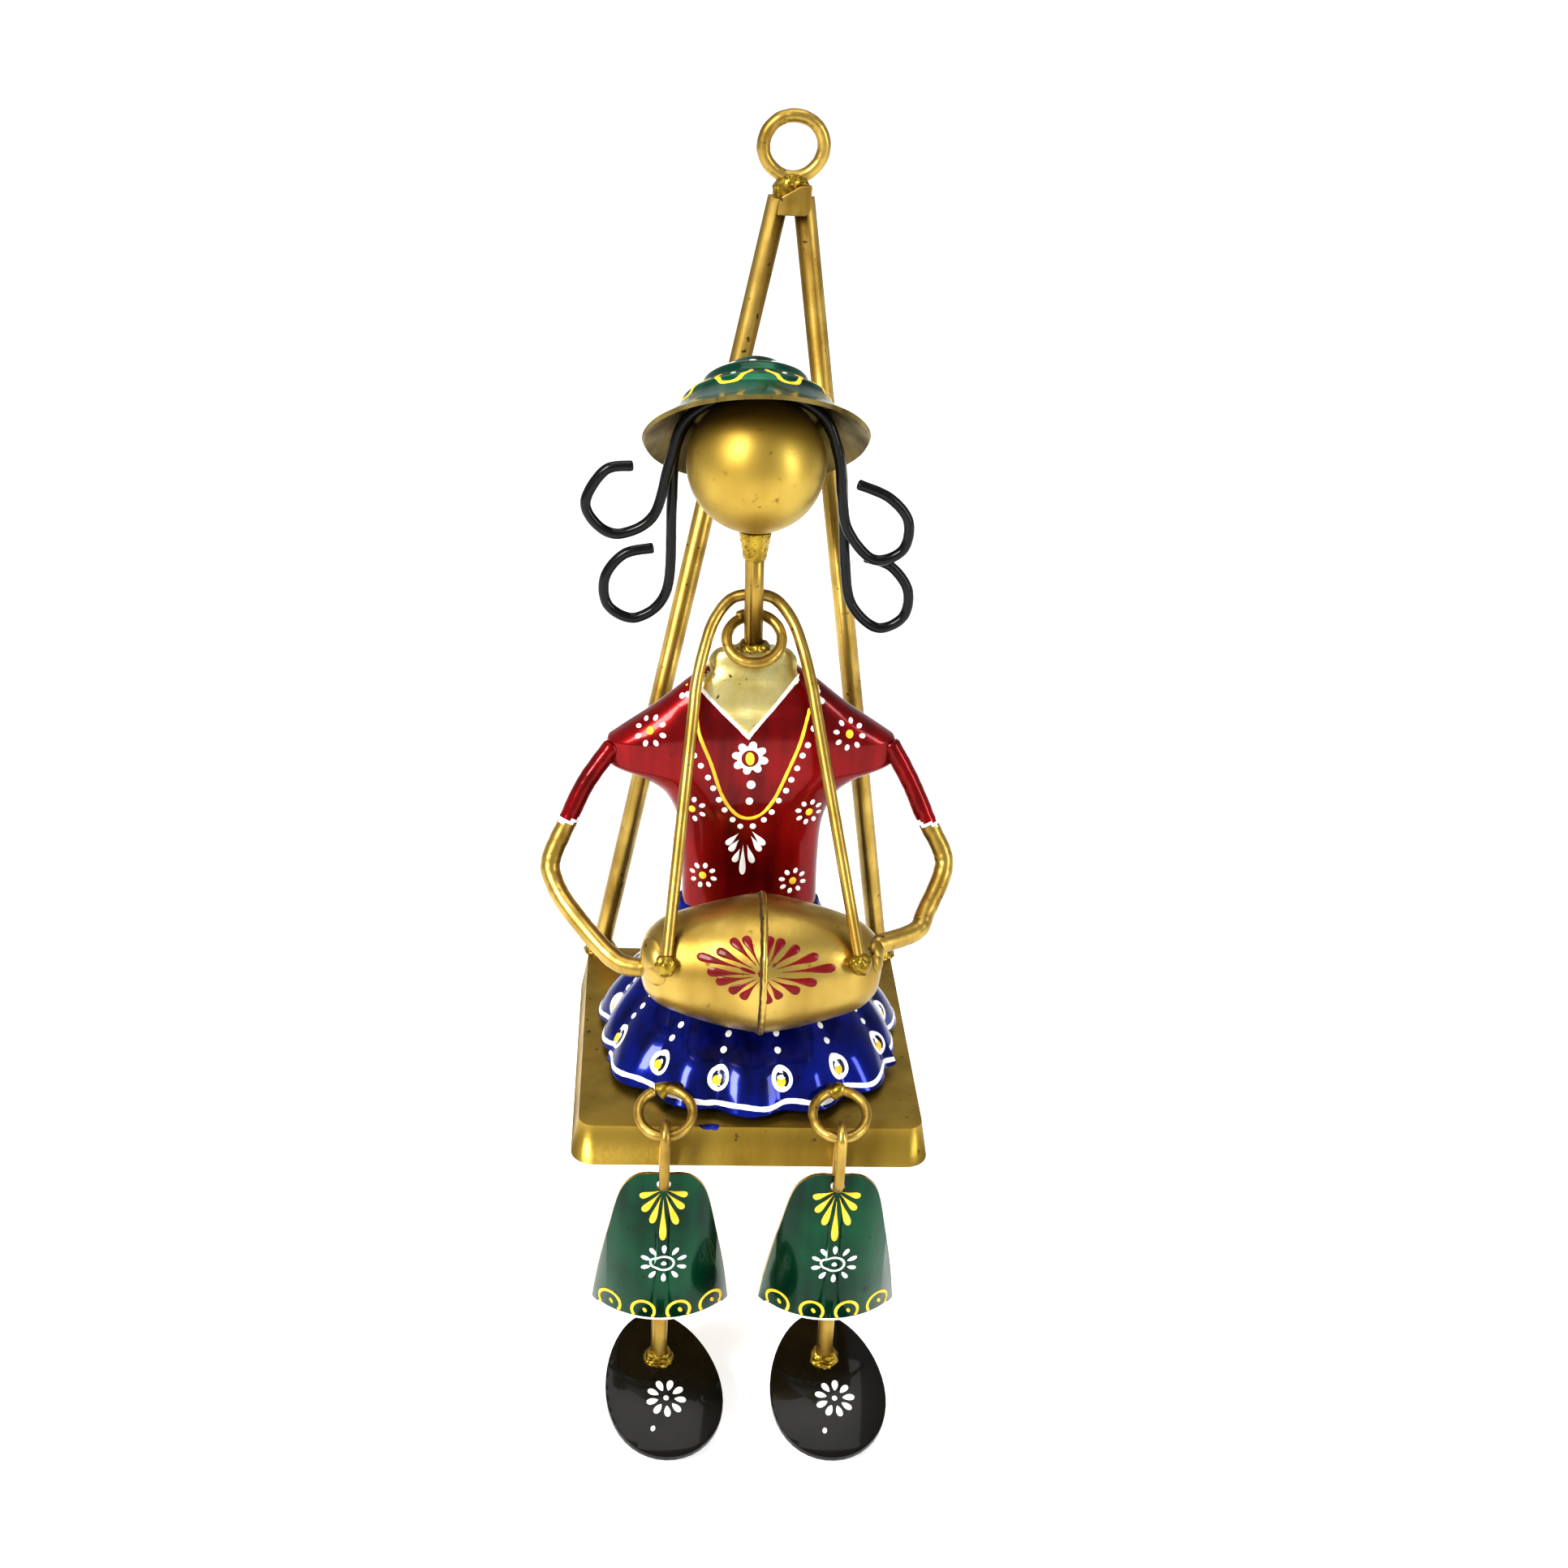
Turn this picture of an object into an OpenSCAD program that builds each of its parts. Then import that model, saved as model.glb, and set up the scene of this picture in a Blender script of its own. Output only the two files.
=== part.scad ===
// Painted iron drummer doll sitting on a hanging seat, made of wire, rod and pressed sheet.
// The origin is the centre of the hanging eye's bore. +X is the viewer's right, +Y points to
// the wall and +Z is up, so nearly everything lies below zero.

/* [Hanging frame] */
// Bore of the hanging eye
eye_bore = 10.2; // [8:0.1:12]
// Thickness of the eye's wire
eye_wire = 2.8; // [2.4:0.1:3.4]
// Width of the flat band round the inside of the eye
eye_land = 1.8; // [1.4:0.1:2]
// Thickness of the two frame rods
rod_d = 4.6; // [3.8:0.1:5.4]
// Height from the eye's centre down to the top of the seat
seat_drop = 190.4; // [175:0.1:230]
// How far the eye stands to the right of the seat's middle
eye_shift = 3.5; // [0:0.1:6]

/* [Seat] */
// Width of the seat's top
seat_w = 73.4; // [60:0.1:88]
// Depth of the seat's top
seat_d = 75; // [68:0.1:77]
// Height of the seat's lip
seat_h = 8.8; // [6:0.1:11]
// How far the lip leans out at its lower edge
seat_flare = 1.6; // [0.5:0.1:2]
// Radius of the seat's corners
seat_corner = 3.5; // [1.6:0.1:6]
// Thickness of the seat's sheet
seat_wall = 1.2; // [0.8:0.1:1.5]

/* [Figure] */
// Height from the seat up to the waist
waist_rise = 34.4; // [30:0.1:38]
// Height from the waist up to the top of the torso
torso_h = 59.5; // [52:0.1:66]
// Half width across the sleeves
sleeve_w = 30.8; // [27:0.1:34]
// Half width of the waist
waist_w = 14.8; // [13:0.1:17]
// Half depth of the chest
chest_t = 7.2; // [6:0.1:8]
// Thickness of the torso's sheet
torso_wall = 1; // [0.7:0.1:1.4]
// How far the figure stands in front of the frame rods
figure_y = -35.5; // [-37:0.1:-34]
// How far the figure leans to the viewer's left, in degrees
figure_lean = 1.5; // [0:0.1:2]
// Length of neck between the torso and the head ball
neck_l = 25.6; // [22:0.1:32]
// Thickness of the neck rod
neck_d = 4; // [3:0.1:5]
// Diameter of the head ball
head_d = 28.4; // [26:0.1:30]

/* [Hat and hair] */
// Radius of the hat's brim
hat_r = 23; // [20:0.1:27]
// Height of the hat
hat_h = 16.8; // [15:0.1:20]
// How far the hat tips back, in degrees
hat_tilt = 38; // [34:1:42]
// Thickness of the hat's sheet
hat_wall = 0.8; // [0.6:0.1:1]
// Thickness of the hair wires
hair_d = 2.2; // [1.8:0.1:2.4]

/* [Drum and arms] */
// Length of the drum
drum_l = 51.4; // [46:0.1:56]
// Diameter of the drum at its seam
drum_d = 29.6; // [26:0.1:31]
// Thickness of the drum's sheet
drum_wall = 1; // [0.7:0.1:1.4]
// Thickness of the arm rods
arm_d = 4.2; // [3.4:0.1:4.8]
// Thickness of the drum's carrying wire
strap_d = 2.5; // [2:0.1:2.8]
// Radius of the collar ring, to the middle of its wire
collar_r = 5.8; // [5.4:0.1:6.2]
// Thickness of the collar ring's wire
collar_d = 2.4; // [2:0.1:2.5]

/* [Skirt] */
// Radius of the skirt's hem
hem_r = 36.8; // [34:0.1:37]
// Gap between the hem and the seat
hem_gap = 1.6; // [1:0.1:2]
// Number of pleats in the skirt
pleats = 18; // [12:1:24]
// Depth of the pleats at the hem
pleat_depth = 0.9; // [0.4:0.1:1.2]
// Thickness of the skirt's sheet
skirt_wall = 1; // [0.8:0.1:1.2]

/* [Legs] */
// Distance from the seat's middle to each leg
leg_x = 18.4; // [17.8:0.1:21]
// Radius of the leg rings, to the middle of their wire
ring_r = 5.7; // [5.2:0.1:6.2]
// Thickness of the leg rings' wire
ring_d = 2.2; // [1.8:0.1:2.4]
// Thickness of the links' wire
link_d = 2.3; // [1.9:0.1:2.6]
// Free gap between a ring and its link, and between a link and its trouser hole
link_gap = 0.35; // [0.3:0.05:0.6]
// Straight length of a link between its two round ends
link_l = 9.4; // [7:0.1:12]
// Height of the trouser plates
trouser_h = 38.5; // [34:0.1:46]
// Half width of the trouser plates at the hem
trouser_w = 15; // [12:0.1:15.4]
// Thickness of the trouser plates
trouser_wall = 0.9; // [0.7:0.1:1.2]
// Thickness of the shin rods
shin_d = 3.6; // [3:0.1:4]
// Height from the trouser hem down to the shoe
shin_l = 12.6; // [10:0.1:20]
// Length of the shoes
shoe_l = 36.4; // [30:0.1:42]
// Half width of the shoes
shoe_w = 12.8; // [10:0.1:13]
// Thickness of the shoes
shoe_t = 1.2; // [0.9:0.1:1.6]

/* [Hidden] */

gold = "#b3993f";
red = "#8c1010";
blue = "#14209a";
green = "#10633a";
black = "#161616";

// Hanging frame: the wall touches the backs of the rods at y = rod_d / 2
eye_r = eye_bore / 2 + sqrt(pow(eye_wire / 2, 2) - pow(eye_land / 2, 2));
eye_bottom = eye_r + eye_wire / 2;
rod_top_x = 2.6;
rod_top_z = -eye_bottom - 2.8;
seat_x = -eye_shift;
seat_z = -seat_drop;
seat_back = rod_d / 2 - seat_flare;
seat_front = seat_back - seat_d;
rod_foot_x = seat_w / 2 - rod_d / 2 - 0.6;
gusset_t = 1.6;
foot_weld_r = rod_d / 2 + 1.7;
foot_weld_h = 2.6;

// Figure: its own frame has x = 0 on its middle line and the waist as its pivot
figure_x = seat_x - 0.6;
waist_z = seat_z + waist_rise;
torso_top = waist_z + torso_h;
head_z = torso_top + neck_l + head_d / 2;
head_wall = 1.2;
neck_dome_r = 3.5;
neck_dome_h = 1.3;
neck_flare_h = 6;

// Torso outline: share of the torso's height, and half width there
torso_outline = [
    [0, waist_w], [0.18, waist_w + 0.1], [0.34, waist_w + 0.9], [0.45, waist_w + 3.8],
    [0.51, waist_w + 8.5], [0.55, sleeve_w - 1.6], [0.58, sleeve_w], [0.65, sleeve_w],
    [0.68, sleeve_w - 1.8], [0.78, sleeve_w * 0.67], [0.88, sleeve_w * 0.44],
    [0.9, 9.8], [0.96, 9.2], [0.99, 7.8], [1, 5.6]
];
// Share of the torso's height, and half depth there
torso_depth = [
    [0, chest_t - 1], [0.25, chest_t - 0.6], [0.5, chest_t], [0.68, chest_t],
    [0.8, chest_t - 1.4], [0.9, chest_t - 3], [0.96, chest_t - 4.4], [1, 2.2]
];
pillow_power = 2.6;
torso_sides = 40;

// Hat: its frame stands on the middle of the brim, with z along the hat's axis
usual_head_d = 28.4;
head_share = head_d / usual_head_d;
crown_r = 15.6 * head_share;
crown_h = hat_h * head_share;
hat_y = figure_y + 1.5 * head_share;
hat_z = head_z + 4.6 * head_share;
hat_outline = [
    [hat_r, 0], [crown_r + 2.6, 3.4], [crown_r, 6], [crown_r - 0.6, 7.8], [crown_r * 0.72, crown_h - 6.4],
    [crown_r * 0.67, crown_h - 4.4], [crown_r * 0.38, crown_h - 2.2], [crown_r * 0.29, crown_h - 0.8],
    [0, crown_h]
];

// Hair: points of each wire from its left curl over the head to its right curl, from the ball
hair_gap = 0.6;
hair_top = (head_d / 2 + hair_d / 2 + 0.3) / head_share;
hair_upper_route = [
    [-25.1, -0.2], [-30.4, -1.2], [-34.4, -7.8], [-31.7, -13], [-27, -14.4],
    [-20.6, -10.4], [-17.2, 1.3], [-13.2, 10.4], [0, hair_top], [12.4, 11], [16.4, 2.3],
    [17.4, -6], [18.9, -13.6], [24.3, -19.8], [30.2, -17.9], [31.2, -11.7], [27.2, -6.7],
    [20.9, -3.9]
];
hair_lower_route = [
    [-21.1, -18.5], [-26.9, -19.9], [-30.8, -25], [-30.1, -31.2], [-24.2, -33.7],
    [-18, -27.4], [-17, -8.9], [-16, 3.6], [-10.6, 11.8], [0, hair_top], [11, 11.6],
    [16.6, 2.4], [18, -10], [18.8, -21.7], [20.4, -30.6], [25.9, -35.9], [31.3, -33.6],
    [32.1, -27.6], [28.3, -22.3], [23.1, -20.4]
];

// Drum: its frame has x along the drum, with the seam at x = 0
drum_x = seat_x + 1;
drum_y = figure_y - 26.5;
drum_z = waist_z - 1.2;
drum_r = drum_d / 2;
drum_half = drum_l / 2;
stud_r = 2;
stud_rise = 4;
// Share of the half length, and share of the seam's radius there
drum_outline = [[0, 1], [0.31, 0.93], [0.58, 0.79], [0.78, 0.61], [0.92, 0.37], [1, 0.001]];

// Strap and arms: hand-set routes in the figure's own frame, except where they meet the drum
strap_end_x = 20;
strap_end_r = drum_r * 0.7 + strap_d / 2 - 0.4;
strap_behind = figure_y + neck_d / 2 + strap_d / 2 + 0.4;
strap_top = torso_top + 10.4;
band_z = torso_top - 37;
elbow_z = torso_top - 45;

// Collar ring: its back lies behind the neck, and its front tips down onto the chest
collar_tilt = 50;
collar_back_y = figure_y + neck_d / 2 + collar_d / 2 + 0.35;
collar_back_z = torso_top + 4.8 + collar_d / 2;

// Skirt: height above the hem as a share, then half width and half depth there
hem_z = seat_z + hem_gap;
skirt_h = waist_z - hem_z;
skirt_y = figure_y + 0.6;
skirt_outline = [
    [0, hem_r, hem_r], [0.14, hem_r - 1.6, hem_r - 1.9], [0.27, hem_r - 5, hem_r - 6],
    [0.5, 24.4, 19], [0.72, 19.6, 12.4], [1, waist_w + 0.7, chest_t + 0.4]
];
skirt_sides = 5 * pleats;
tack_r = 1.5;
hem_bevel = 0.35;

// Legs: rings hang over the seat's front edge, links hang in the rings, legs hang in the links
ring_tilt = 64;
link_r = link_d / 2 + ring_d / 2 + link_gap;
link_reach = link_r + link_d / 2;
swing_room = 0.9;
ring_y = seat_front - seat_flare - swing_room - link_reach;
ring_z = seat_z + 1.8;
pivot_z = ring_z - link_l - link_r;
hole_r = link_d / 2 + link_gap;
trouser_bridge = 1.2;
// Weld beads: across, how far they stand round a rod, and how far one is set in from its face
eye_weld_d = 7.4;
eye_weld_drop = 1.6;
eye_weld_inset = 0.6;
ring_weld_d = 3.6;
strap_weld_w = 1;
shoe_weld_w = 2;
trouser_top = hole_r + trouser_bridge;
trouser_r = 18;
weld_bed = 0.1;
shin_y = trouser_wall / 2 + shin_d / 2 + weld_bed;
shin_top = -4.2;
shoe_z = trouser_top - trouser_h - shin_l;
shoe_tilt = 12;
shoe_turn_left = 10;
shoe_turn_right = 4;
shoe_dome = 70;
heel_back = shoe_l * 0.36;

// A straight round bar from point a to point b
module bar(a, b, d) {
    v = b - a;
    translate(a)
        rotate([0, acos(v[2] / norm(v)), atan2(v[1], v[0])])
            cylinder(d = d, h = norm(v), $fn = 48);
}

// A closed skin over a stack of rings, each a list of points that run anticlockwise from above
module loft(rings) {
    n = len(rings[0]);
    m = len(rings);
    sides = [
        for (k = [0 : m - 2], i = [0 : n - 1])
            let (a = k * n + i, b = k * n + (i + 1) % n)
                each [[a, a + n, b + n], [a, b + n, b]]
    ];
    ends = [[for (i = [0 : n - 1]) i], [for (i = [n - 1 : -1 : 0]) (m - 1) * n + i]];
    polyhedron(points = [for (r = rings) each r], faces = concat(sides, ends), convexity = 8);
}

// A smooth curve through a list of points, with k steps between each two
function curve_point(a, b, c, d, t) =
    0.5 * (2 * b + (c - a) * t + (2 * a - 5 * b + 4 * c - d) * t * t
        + (3 * b - a - 3 * c + d) * t * t * t);
function curve(p, k) = [
    for (i = [0 : len(p) - 2], j = [0 : k - 1])
        curve_point(p[max(i - 1, 0)], p[i], p[i + 1], p[min(i + 2, len(p) - 1)], j / k),
    p[len(p) - 1]
];

// A round wire of diameter d along a route that never runs straight along Y
function unit(v) = v / norm(v);
module wire(route, d, sides = 10) {
    last = len(route) - 1;
    loft([
        for (i = [0 : last])
            let (
                t = unit(route[min(i + 1, last)] - route[max(i - 1, 0)]),
                u = unit(cross([0, 1, 0], t)),
                v = cross(t, u)
            )
            [for (s = [0 : sides - 1]) let (a = 360 * s / sides)
                route[i] + d / 2 * (cos(a) * u + sin(a) * v)]
    ]);
}

// Turns and moves its children from the figure's own frame to where the figure sits
module leaning() {
    translate([figure_x, 0, waist_z])
        rotate([0, -figure_lean, 0])
            translate([0, 0, -waist_z])
                children();
}

module eye_form() {
    rotate([90, 0, 0])
        rotate_extrude($fn = 96)
            intersection() {
                translate([eye_r, 0]) circle(d = eye_wire, $fn = 32);
                translate([eye_bore / 2, -eye_wire]) square([eye_wire * 2, eye_wire * 2]);
            }
}

module hanging_eye() {
    color(gold) eye_form();
}

// A chip of plate laid over the joint between the eye and the rods
module eye_gusset() {
    color(gold)
        translate([0, -rod_d / 2, -eye_bottom])
            rotate([90, 0, 0])
                linear_extrude(gusset_t)
                    polygon([[-3, -5.8], [3, -5.8], [3.9, -4.6], [4, 0.4], [1.6, 0.2], [-2.6, -2.2]]);
}

module frame_rod_form(side) {
    top = [side * rod_top_x, 0, rod_top_z];
    foot = [seat_x + side * rod_foot_x, 0, seat_z];
    intersection() {
        bar(top, foot + unit(foot - top) * rod_d, rod_d);
        translate([-seat_w, -seat_d, seat_z]) cube([2 * seat_w, 2 * seat_d, 2 * seat_drop]);
    }
}

// The round puddle of weld that holds the eye on the tops of the rods
module eye_weld() {
    color(gold)
        difference() {
            translate([0, 0, -eye_bottom - eye_weld_drop])
                rotate([90, 0, 0])
                    cylinder(d = eye_weld_d, h = rod_d - eye_weld_inset, center = true, $fn = 48);
            eye_form();
            rotate([90, 0, 0]) cylinder(d = eye_bore, h = 3 * rod_d, center = true, $fn = 96);
            frame_rod_form(-1);
            frame_rod_form(1);
        }
}

module frame_rod_left() {
    color(gold) frame_rod_form(-1);
}

module frame_rod_right() {
    color(gold) frame_rod_form(1);
}

module seat_slab(grow, r) {
    x = seat_w / 2 + grow - r;
    front = seat_front - grow + r;
    back = seat_back + grow - r;
    for (sx = [-1, 1], y = [front, back])
        translate([seat_x + sx * x, y]) cylinder(r = r, h = 0.01, $fn = 32);
}

// The solid block of the tray's outside, or with a wall taken off, of its hollow
module tray_form(wall) {
    hull() {
        translate([0, 0, seat_z - 0.01 - wall]) seat_slab(-wall, seat_corner - wall);
        translate([0, 0, seat_z - seat_h - (wall > 0 ? 1 : 0)])
            seat_slab(seat_flare - wall, seat_corner + seat_flare - wall);
    }
}

module seat_tray() {
    color(gold)
        difference() {
            tray_form(0);
            tray_form(seat_wall);
        }
}

// Beads of weld round the feet of the frame rods, where they stand on the seat
module rod_foot_welds() {
    color(gold)
        for (side = [-1, 1])
            difference() {
                intersection() {
                    translate([seat_x + side * rod_foot_x, 0, seat_z])
                        cylinder(r1 = foot_weld_r, r2 = rod_d / 2 + 0.4, h = foot_weld_h, $fn = 48);
                    translate([-seat_w, -seat_d, seat_z - 1])
                        cube([2 * seat_w, seat_d + seat_back, 20]);
                }
                frame_rod_form(side);
            }
}

// One level of the skirt at a share of its height, drawn in by a wall
function skirt_ring(share, wall) = [
    for (i = [0 : skirt_sides - 1])
        let (
            a = 360 * i / skirt_sides,
            wide = lookup(share, [for (p = skirt_outline) [p[0], p[1]]]),
            deep = lookup(share, [for (p = skirt_outline) [p[0], p[2]]]),
            fold = pleat_depth * (1 - share) * cos(pleats * a)
        )
        [
            seat_x + (1 - share) * 0.5 + share * (figure_x - seat_x) + (wide + fold - wall) * cos(a),
            skirt_y + (deep + fold - wall) * sin(a),
            hem_z + share * skirt_h
        ]
];
skirt_levels = [0, 0.14, 0.27, 0.38, 0.5, 0.72, 1];

module skirt_form(wall, top, drop) {
    loft([
        for (s = skirt_levels)
            [for (p = skirt_ring(s, wall)) p - (s == 0 ? [0, 0, drop] : [0, 0, 0])
                - (s == 1 ? [0, 0, top] : [0, 0, 0])]
    ]);
}

module skirt() {
    last = len(skirt_levels) - 1;
    inside = [
        for (i = [last : -1 : 0])
            [for (p = skirt_ring(skirt_levels[i], skirt_wall))
                p + [0, 0, i == last ? -skirt_wall : i == 0 ? hem_bevel : 0]]
    ];
    color(blue) loft(concat(inside, [for (s = skirt_levels) skirt_ring(s, 0)]));
}

// Three short pegs of weld inside the hem that stand the skirt on the seat
module skirt_tacks() {
    reach = hem_r - skirt_wall - pleat_depth - 2.8;
    color(gold)
        intersection() {
            for (a = [90, 200, 340])
                translate([seat_x + reach * cos(a), skirt_y + reach * sin(a), seat_z])
                    cylinder(r = tack_r, h = hem_gap + 9, $fn = 32);
            skirt_form(skirt_wall, skirt_wall, hem_gap + 1);
        }
}

// One level of the torso: a rounded pillow section, drawn in by a wall
function soft_power(c) = sign(c) * pow(abs(c), 2 / pillow_power);
function torso_ring(share, wall) = [
    for (i = [0 : torso_sides - 1])
        let (
            a = 360 * (i + 0.5) / torso_sides,
            wide = lookup(share, torso_outline) - wall,
            deep = lookup(share, torso_depth) - wall
        )
        [wide * soft_power(cos(a)), figure_y + deep * soft_power(sin(a)),
            waist_z + share * torso_h - (share > 0.99 || share < 0 ? wall : 0)]
];
torso_foot = -0.03;
torso_levels = [
    torso_foot, 0.09, 0.18, 0.26, 0.34, 0.4, 0.45, 0.48, 0.51, 0.53, 0.55, 0.58, 0.62, 0.65, 0.68,
    0.73, 0.78, 0.83, 0.88, 0.9, 0.93, 0.96, 0.98, 1
];

module torso_form(wall) {
    loft([for (s = torso_levels) torso_ring(s, wall)]);
}

// Half of the torso: side is -1 for the front pressing and 1 for the back one
module torso_half(side) {
    color(red)
        intersection() {
            leaning()
                difference() {
                    torso_form(0);
                    torso_form(torso_wall);
                }
            translate([figure_x - seat_w, side > 0 ? figure_y : figure_y - seat_d, waist_z])
                cube([2 * seat_w, seat_d, 2 * torso_h]);
        }
}

module torso_front() {
    torso_half(-1);
}

module torso_back() {
    torso_half(1);
}

// The neck runs from the torso's top through the hole in the ball's underside
module neck_rod() {
    color(gold)
        leaning()
            translate([0, figure_y, torso_top])
                cylinder(d = neck_d, h = neck_l + head_wall + 0.6, $fn = 48);
}

// A low dome of weld on the torso's top and a flared fillet under the head ball
module neck_welds() {
    color(gold)
        leaning()
            difference() {
                translate([0, figure_y, torso_top]) {
                    cylinder(r1 = neck_dome_r, r2 = neck_d / 2 + 0.5, h = neck_dome_h, $fn = 48);
                    translate([0, 0, neck_l - neck_flare_h])
                        cylinder(d1 = neck_d + 0.4, d2 = neck_d + 2.4, h = neck_flare_h, $fn = 48);
                }
                translate([0, figure_y, torso_top - 1]) cylinder(d = neck_d, h = neck_l + 10, $fn = 48);
                translate([0, figure_y, head_z]) sphere(d = head_d, $fn = 96);
            }
}

module head_ball() {
    color(gold)
        leaning()
            translate([0, figure_y, head_z])
                difference() {
                    sphere(d = head_d, $fn = 96);
                    sphere(d = head_d - 2 * head_wall, $fn = 96);
                    translate([0, 0, -head_d]) cylinder(d = neck_d, h = head_d, $fn = 48);
                }
}

module on_hat() {
    leaning()
        translate([0, hat_y, hat_z])
            rotate([-hat_tilt, 0, 0])
                children();
}

// A round brimmed hat, pressed from sheet in two steps
module hat() {
    inner = [for (p = hat_outline) [max(p[0] - 0.5, 0), p[1] - hat_wall]];
    color(green)
        on_hat()
            rotate_extrude($fn = 96)
                polygon(concat(hat_outline, [for (i = [len(inner) - 1 : -1 : 0]) inner[i]]));
}

module hair_wire(route, back, d) {
    leaning()
        translate([0, figure_y + back, head_z])
            wire([for (p = curve(route, 3)) head_share * [p[0], 0, p[1]]], d, 8);
}

hair_back = (hair_d + hair_gap) / 2;

module hair_wire_upper() {
    color(black) hair_wire(hair_upper_route, -hair_back, hair_d);
}

module hair_wire_lower() {
    color(black) hair_wire(hair_lower_route, hair_back, hair_d);
}

// The hidden stud of weld between the ball's crown and the inside of the hat
module hat_stud() {
    stud_top = crown_h - 0.8 - hat_wall;
    stud_l = 8 * head_share;
    color(gold)
        difference() {
            on_hat() translate([0, 0, stud_top - stud_l]) cylinder(d = 7, h = stud_l, $fn = 32);
            leaning() translate([0, figure_y, head_z]) sphere(d = head_d, $fn = 96);
        }
}

// Points of the drum's profile from its seam to its end: along the drum, then radius
drum_profile = [for (p = curve(drum_outline, 3)) [max(p[1], 0) * drum_r, p[0] * drum_half]];

module drum_cup_form(inset) {
    s = 1 - inset / drum_r;
    rotate_extrude($fn = 96)
        polygon(concat([[0, 0]], [for (p = drum_profile) p * s], [[0, drum_half * s]]));
}

module on_drum(side) {
    translate([drum_x, drum_y, drum_z])
        rotate([0, side * 90, 0])
            children();
}

module drum_cup(side) {
    color(gold)
        on_drum(side)
            difference() {
                drum_cup_form(0);
                translate([0, 0, -0.001]) drum_cup_form(drum_wall);
            }
}

module drum_cup_left() {
    drum_cup(-1);
}

module drum_cup_right() {
    drum_cup(1);
}

// The raised line of weld round the joint between the drum's two cups
module drum_seam() {
    color(gold)
        difference() {
            on_drum(1)
                translate([0, 0, -0.7])
                    rotate_extrude($fn = 96)
                        polygon([[drum_r - 1, 0], [drum_r, 0], [drum_r + 0.6, 0.5],
                            [drum_r + 0.6, 0.9], [drum_r, 1.4], [drum_r - 1, 1.4]]);
            on_drum(1) drum_cup_form(0);
            on_drum(-1) drum_cup_form(0);
        }
}

// The short stud that holds the drum on the front of the torso
module drum_stud() {
    belly = lookup((drum_z + stud_rise + stud_r - waist_z) / torso_h, torso_depth);
    color(gold)
        difference() {
            translate([drum_x, figure_y - belly, drum_z + stud_rise])
                rotate([90, 0, 0]) cylinder(r = stud_r, h = figure_y - belly - drum_y, $fn = 32);
            on_drum(1) cylinder(r = drum_r + 0.6, h = drum_l, center = true, $fn = 96);
        }
}

// The carrying wire: from the drum up past the chest and round behind the neck
function strap_end(s) =
    [drum_x - figure_x + s * strap_end_x, drum_y - strap_end_r * 0.88, drum_z + strap_end_r * 0.47];
function strap_leg(s) =
    let (shoulder = [s * 12, strap_behind - 10.5, torso_top - 5.6], foot = strap_end(s))
        [foot, foot + 0.45 * (shoulder - foot), foot + 0.88 * (shoulder - foot), shoulder,
            [s * 10.4, strap_behind - 6.6, torso_top + 0.4],
            [s * 8.2, strap_behind - 2.6, torso_top + 5.6], [s * 4.6, strap_behind, torso_top + 9.4]];
strap_route = concat(
    strap_leg(-1), [[0, strap_behind, strap_top]], [for (i = [6 : -1 : 0]) strap_leg(1)[i]]
);

module drum_strap() {
    color(gold) leaning() wire(curve(strap_route, 3), strap_d, 10);
}

// Beads of weld that hold the two ends of the carrying wire on the drum
module strap_welds() {
    color(gold)
        difference() {
            for (i = [0, len(strap_route) - 1])
                leaning() translate(strap_route[i]) sphere(r = strap_d / 2 + strap_weld_w, $fn = 48);
            drum_strap();
            on_drum(1) drum_cup_form(0);
            on_drum(-1) drum_cup_form(0);
        }
}

arm_left_route = [
    [1 - sleeve_w, figure_y - 2, torso_top - 22], [-35.4, figure_y - 4.2, torso_top - 29.5],
    [-39.6, figure_y - 6.5, band_z - 1], [-42.8, figure_y - 9, elbow_z],
    [-42.2, figure_y - 11.6, elbow_z - 4], [-38.4, figure_y - 16.6, elbow_z - 8.6],
    [-29, figure_y - 24.6, elbow_z - 16], [-21.6, figure_y - 26.5, elbow_z - 17]
];
arm_right_route = [
    [sleeve_w - 1, figure_y - 2, torso_top - 21.6], [34.2, figure_y - 4.2, torso_top - 29.5],
    [37.6, figure_y - 6.5, band_z], [41.2, figure_y - 9, elbow_z + 1],
    [41, figure_y - 11.6, elbow_z - 3], [37.2, figure_y - 17, elbow_z - 9],
    [34.6, figure_y - 21, elbow_z - 11.6], [25.6, figure_y - 27, elbow_z - 11.4]
];

module arm(route, side) {
    color(gold)
        difference() {
            leaning()
                difference() {
                    wire(curve(route, 4), arm_d, 12);
                    translate([-sleeve_w, figure_y - 10, torso_top - 30]) cube([2 * sleeve_w, 20, 15]);
                }
            on_drum(side) drum_cup_form(0);
        }
}

module arm_left() {
    arm(arm_left_route, -1);
}

module arm_right() {
    arm(arm_right_route, 1);
}

// The loose collar ring, resting with its back behind the neck
module collar_ring() {
    color(gold)
        leaning()
            translate([0, collar_back_y, collar_back_z])
                rotate([-collar_tilt, 0, 0])
                    translate([0, 0, -collar_r])
                        rotate([90, 0, 0])
                            rotate_extrude($fn = 64)
                                translate([collar_r, 0]) circle(d = collar_d, $fn = 32);
}

// Moves its children to where a leg ring's lowest point and its link's upper end are
module at_ring(side) {
    translate([seat_x + side * leg_x, ring_y, ring_z]) children();
}

module leg_ring(side) {
    color(gold)
        at_ring(side)
            rotate([-ring_tilt, 0, 0])
                translate([0, 0, ring_r])
                    rotate([90, 0, 0])
                        rotate_extrude($fn = 64)
                            translate([ring_r, 0]) circle(d = ring_d, $fn = 32);
}

module leg_ring_left() {
    leg_ring(-1);
}

module leg_ring_right() {
    leg_ring(1);
}

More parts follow.
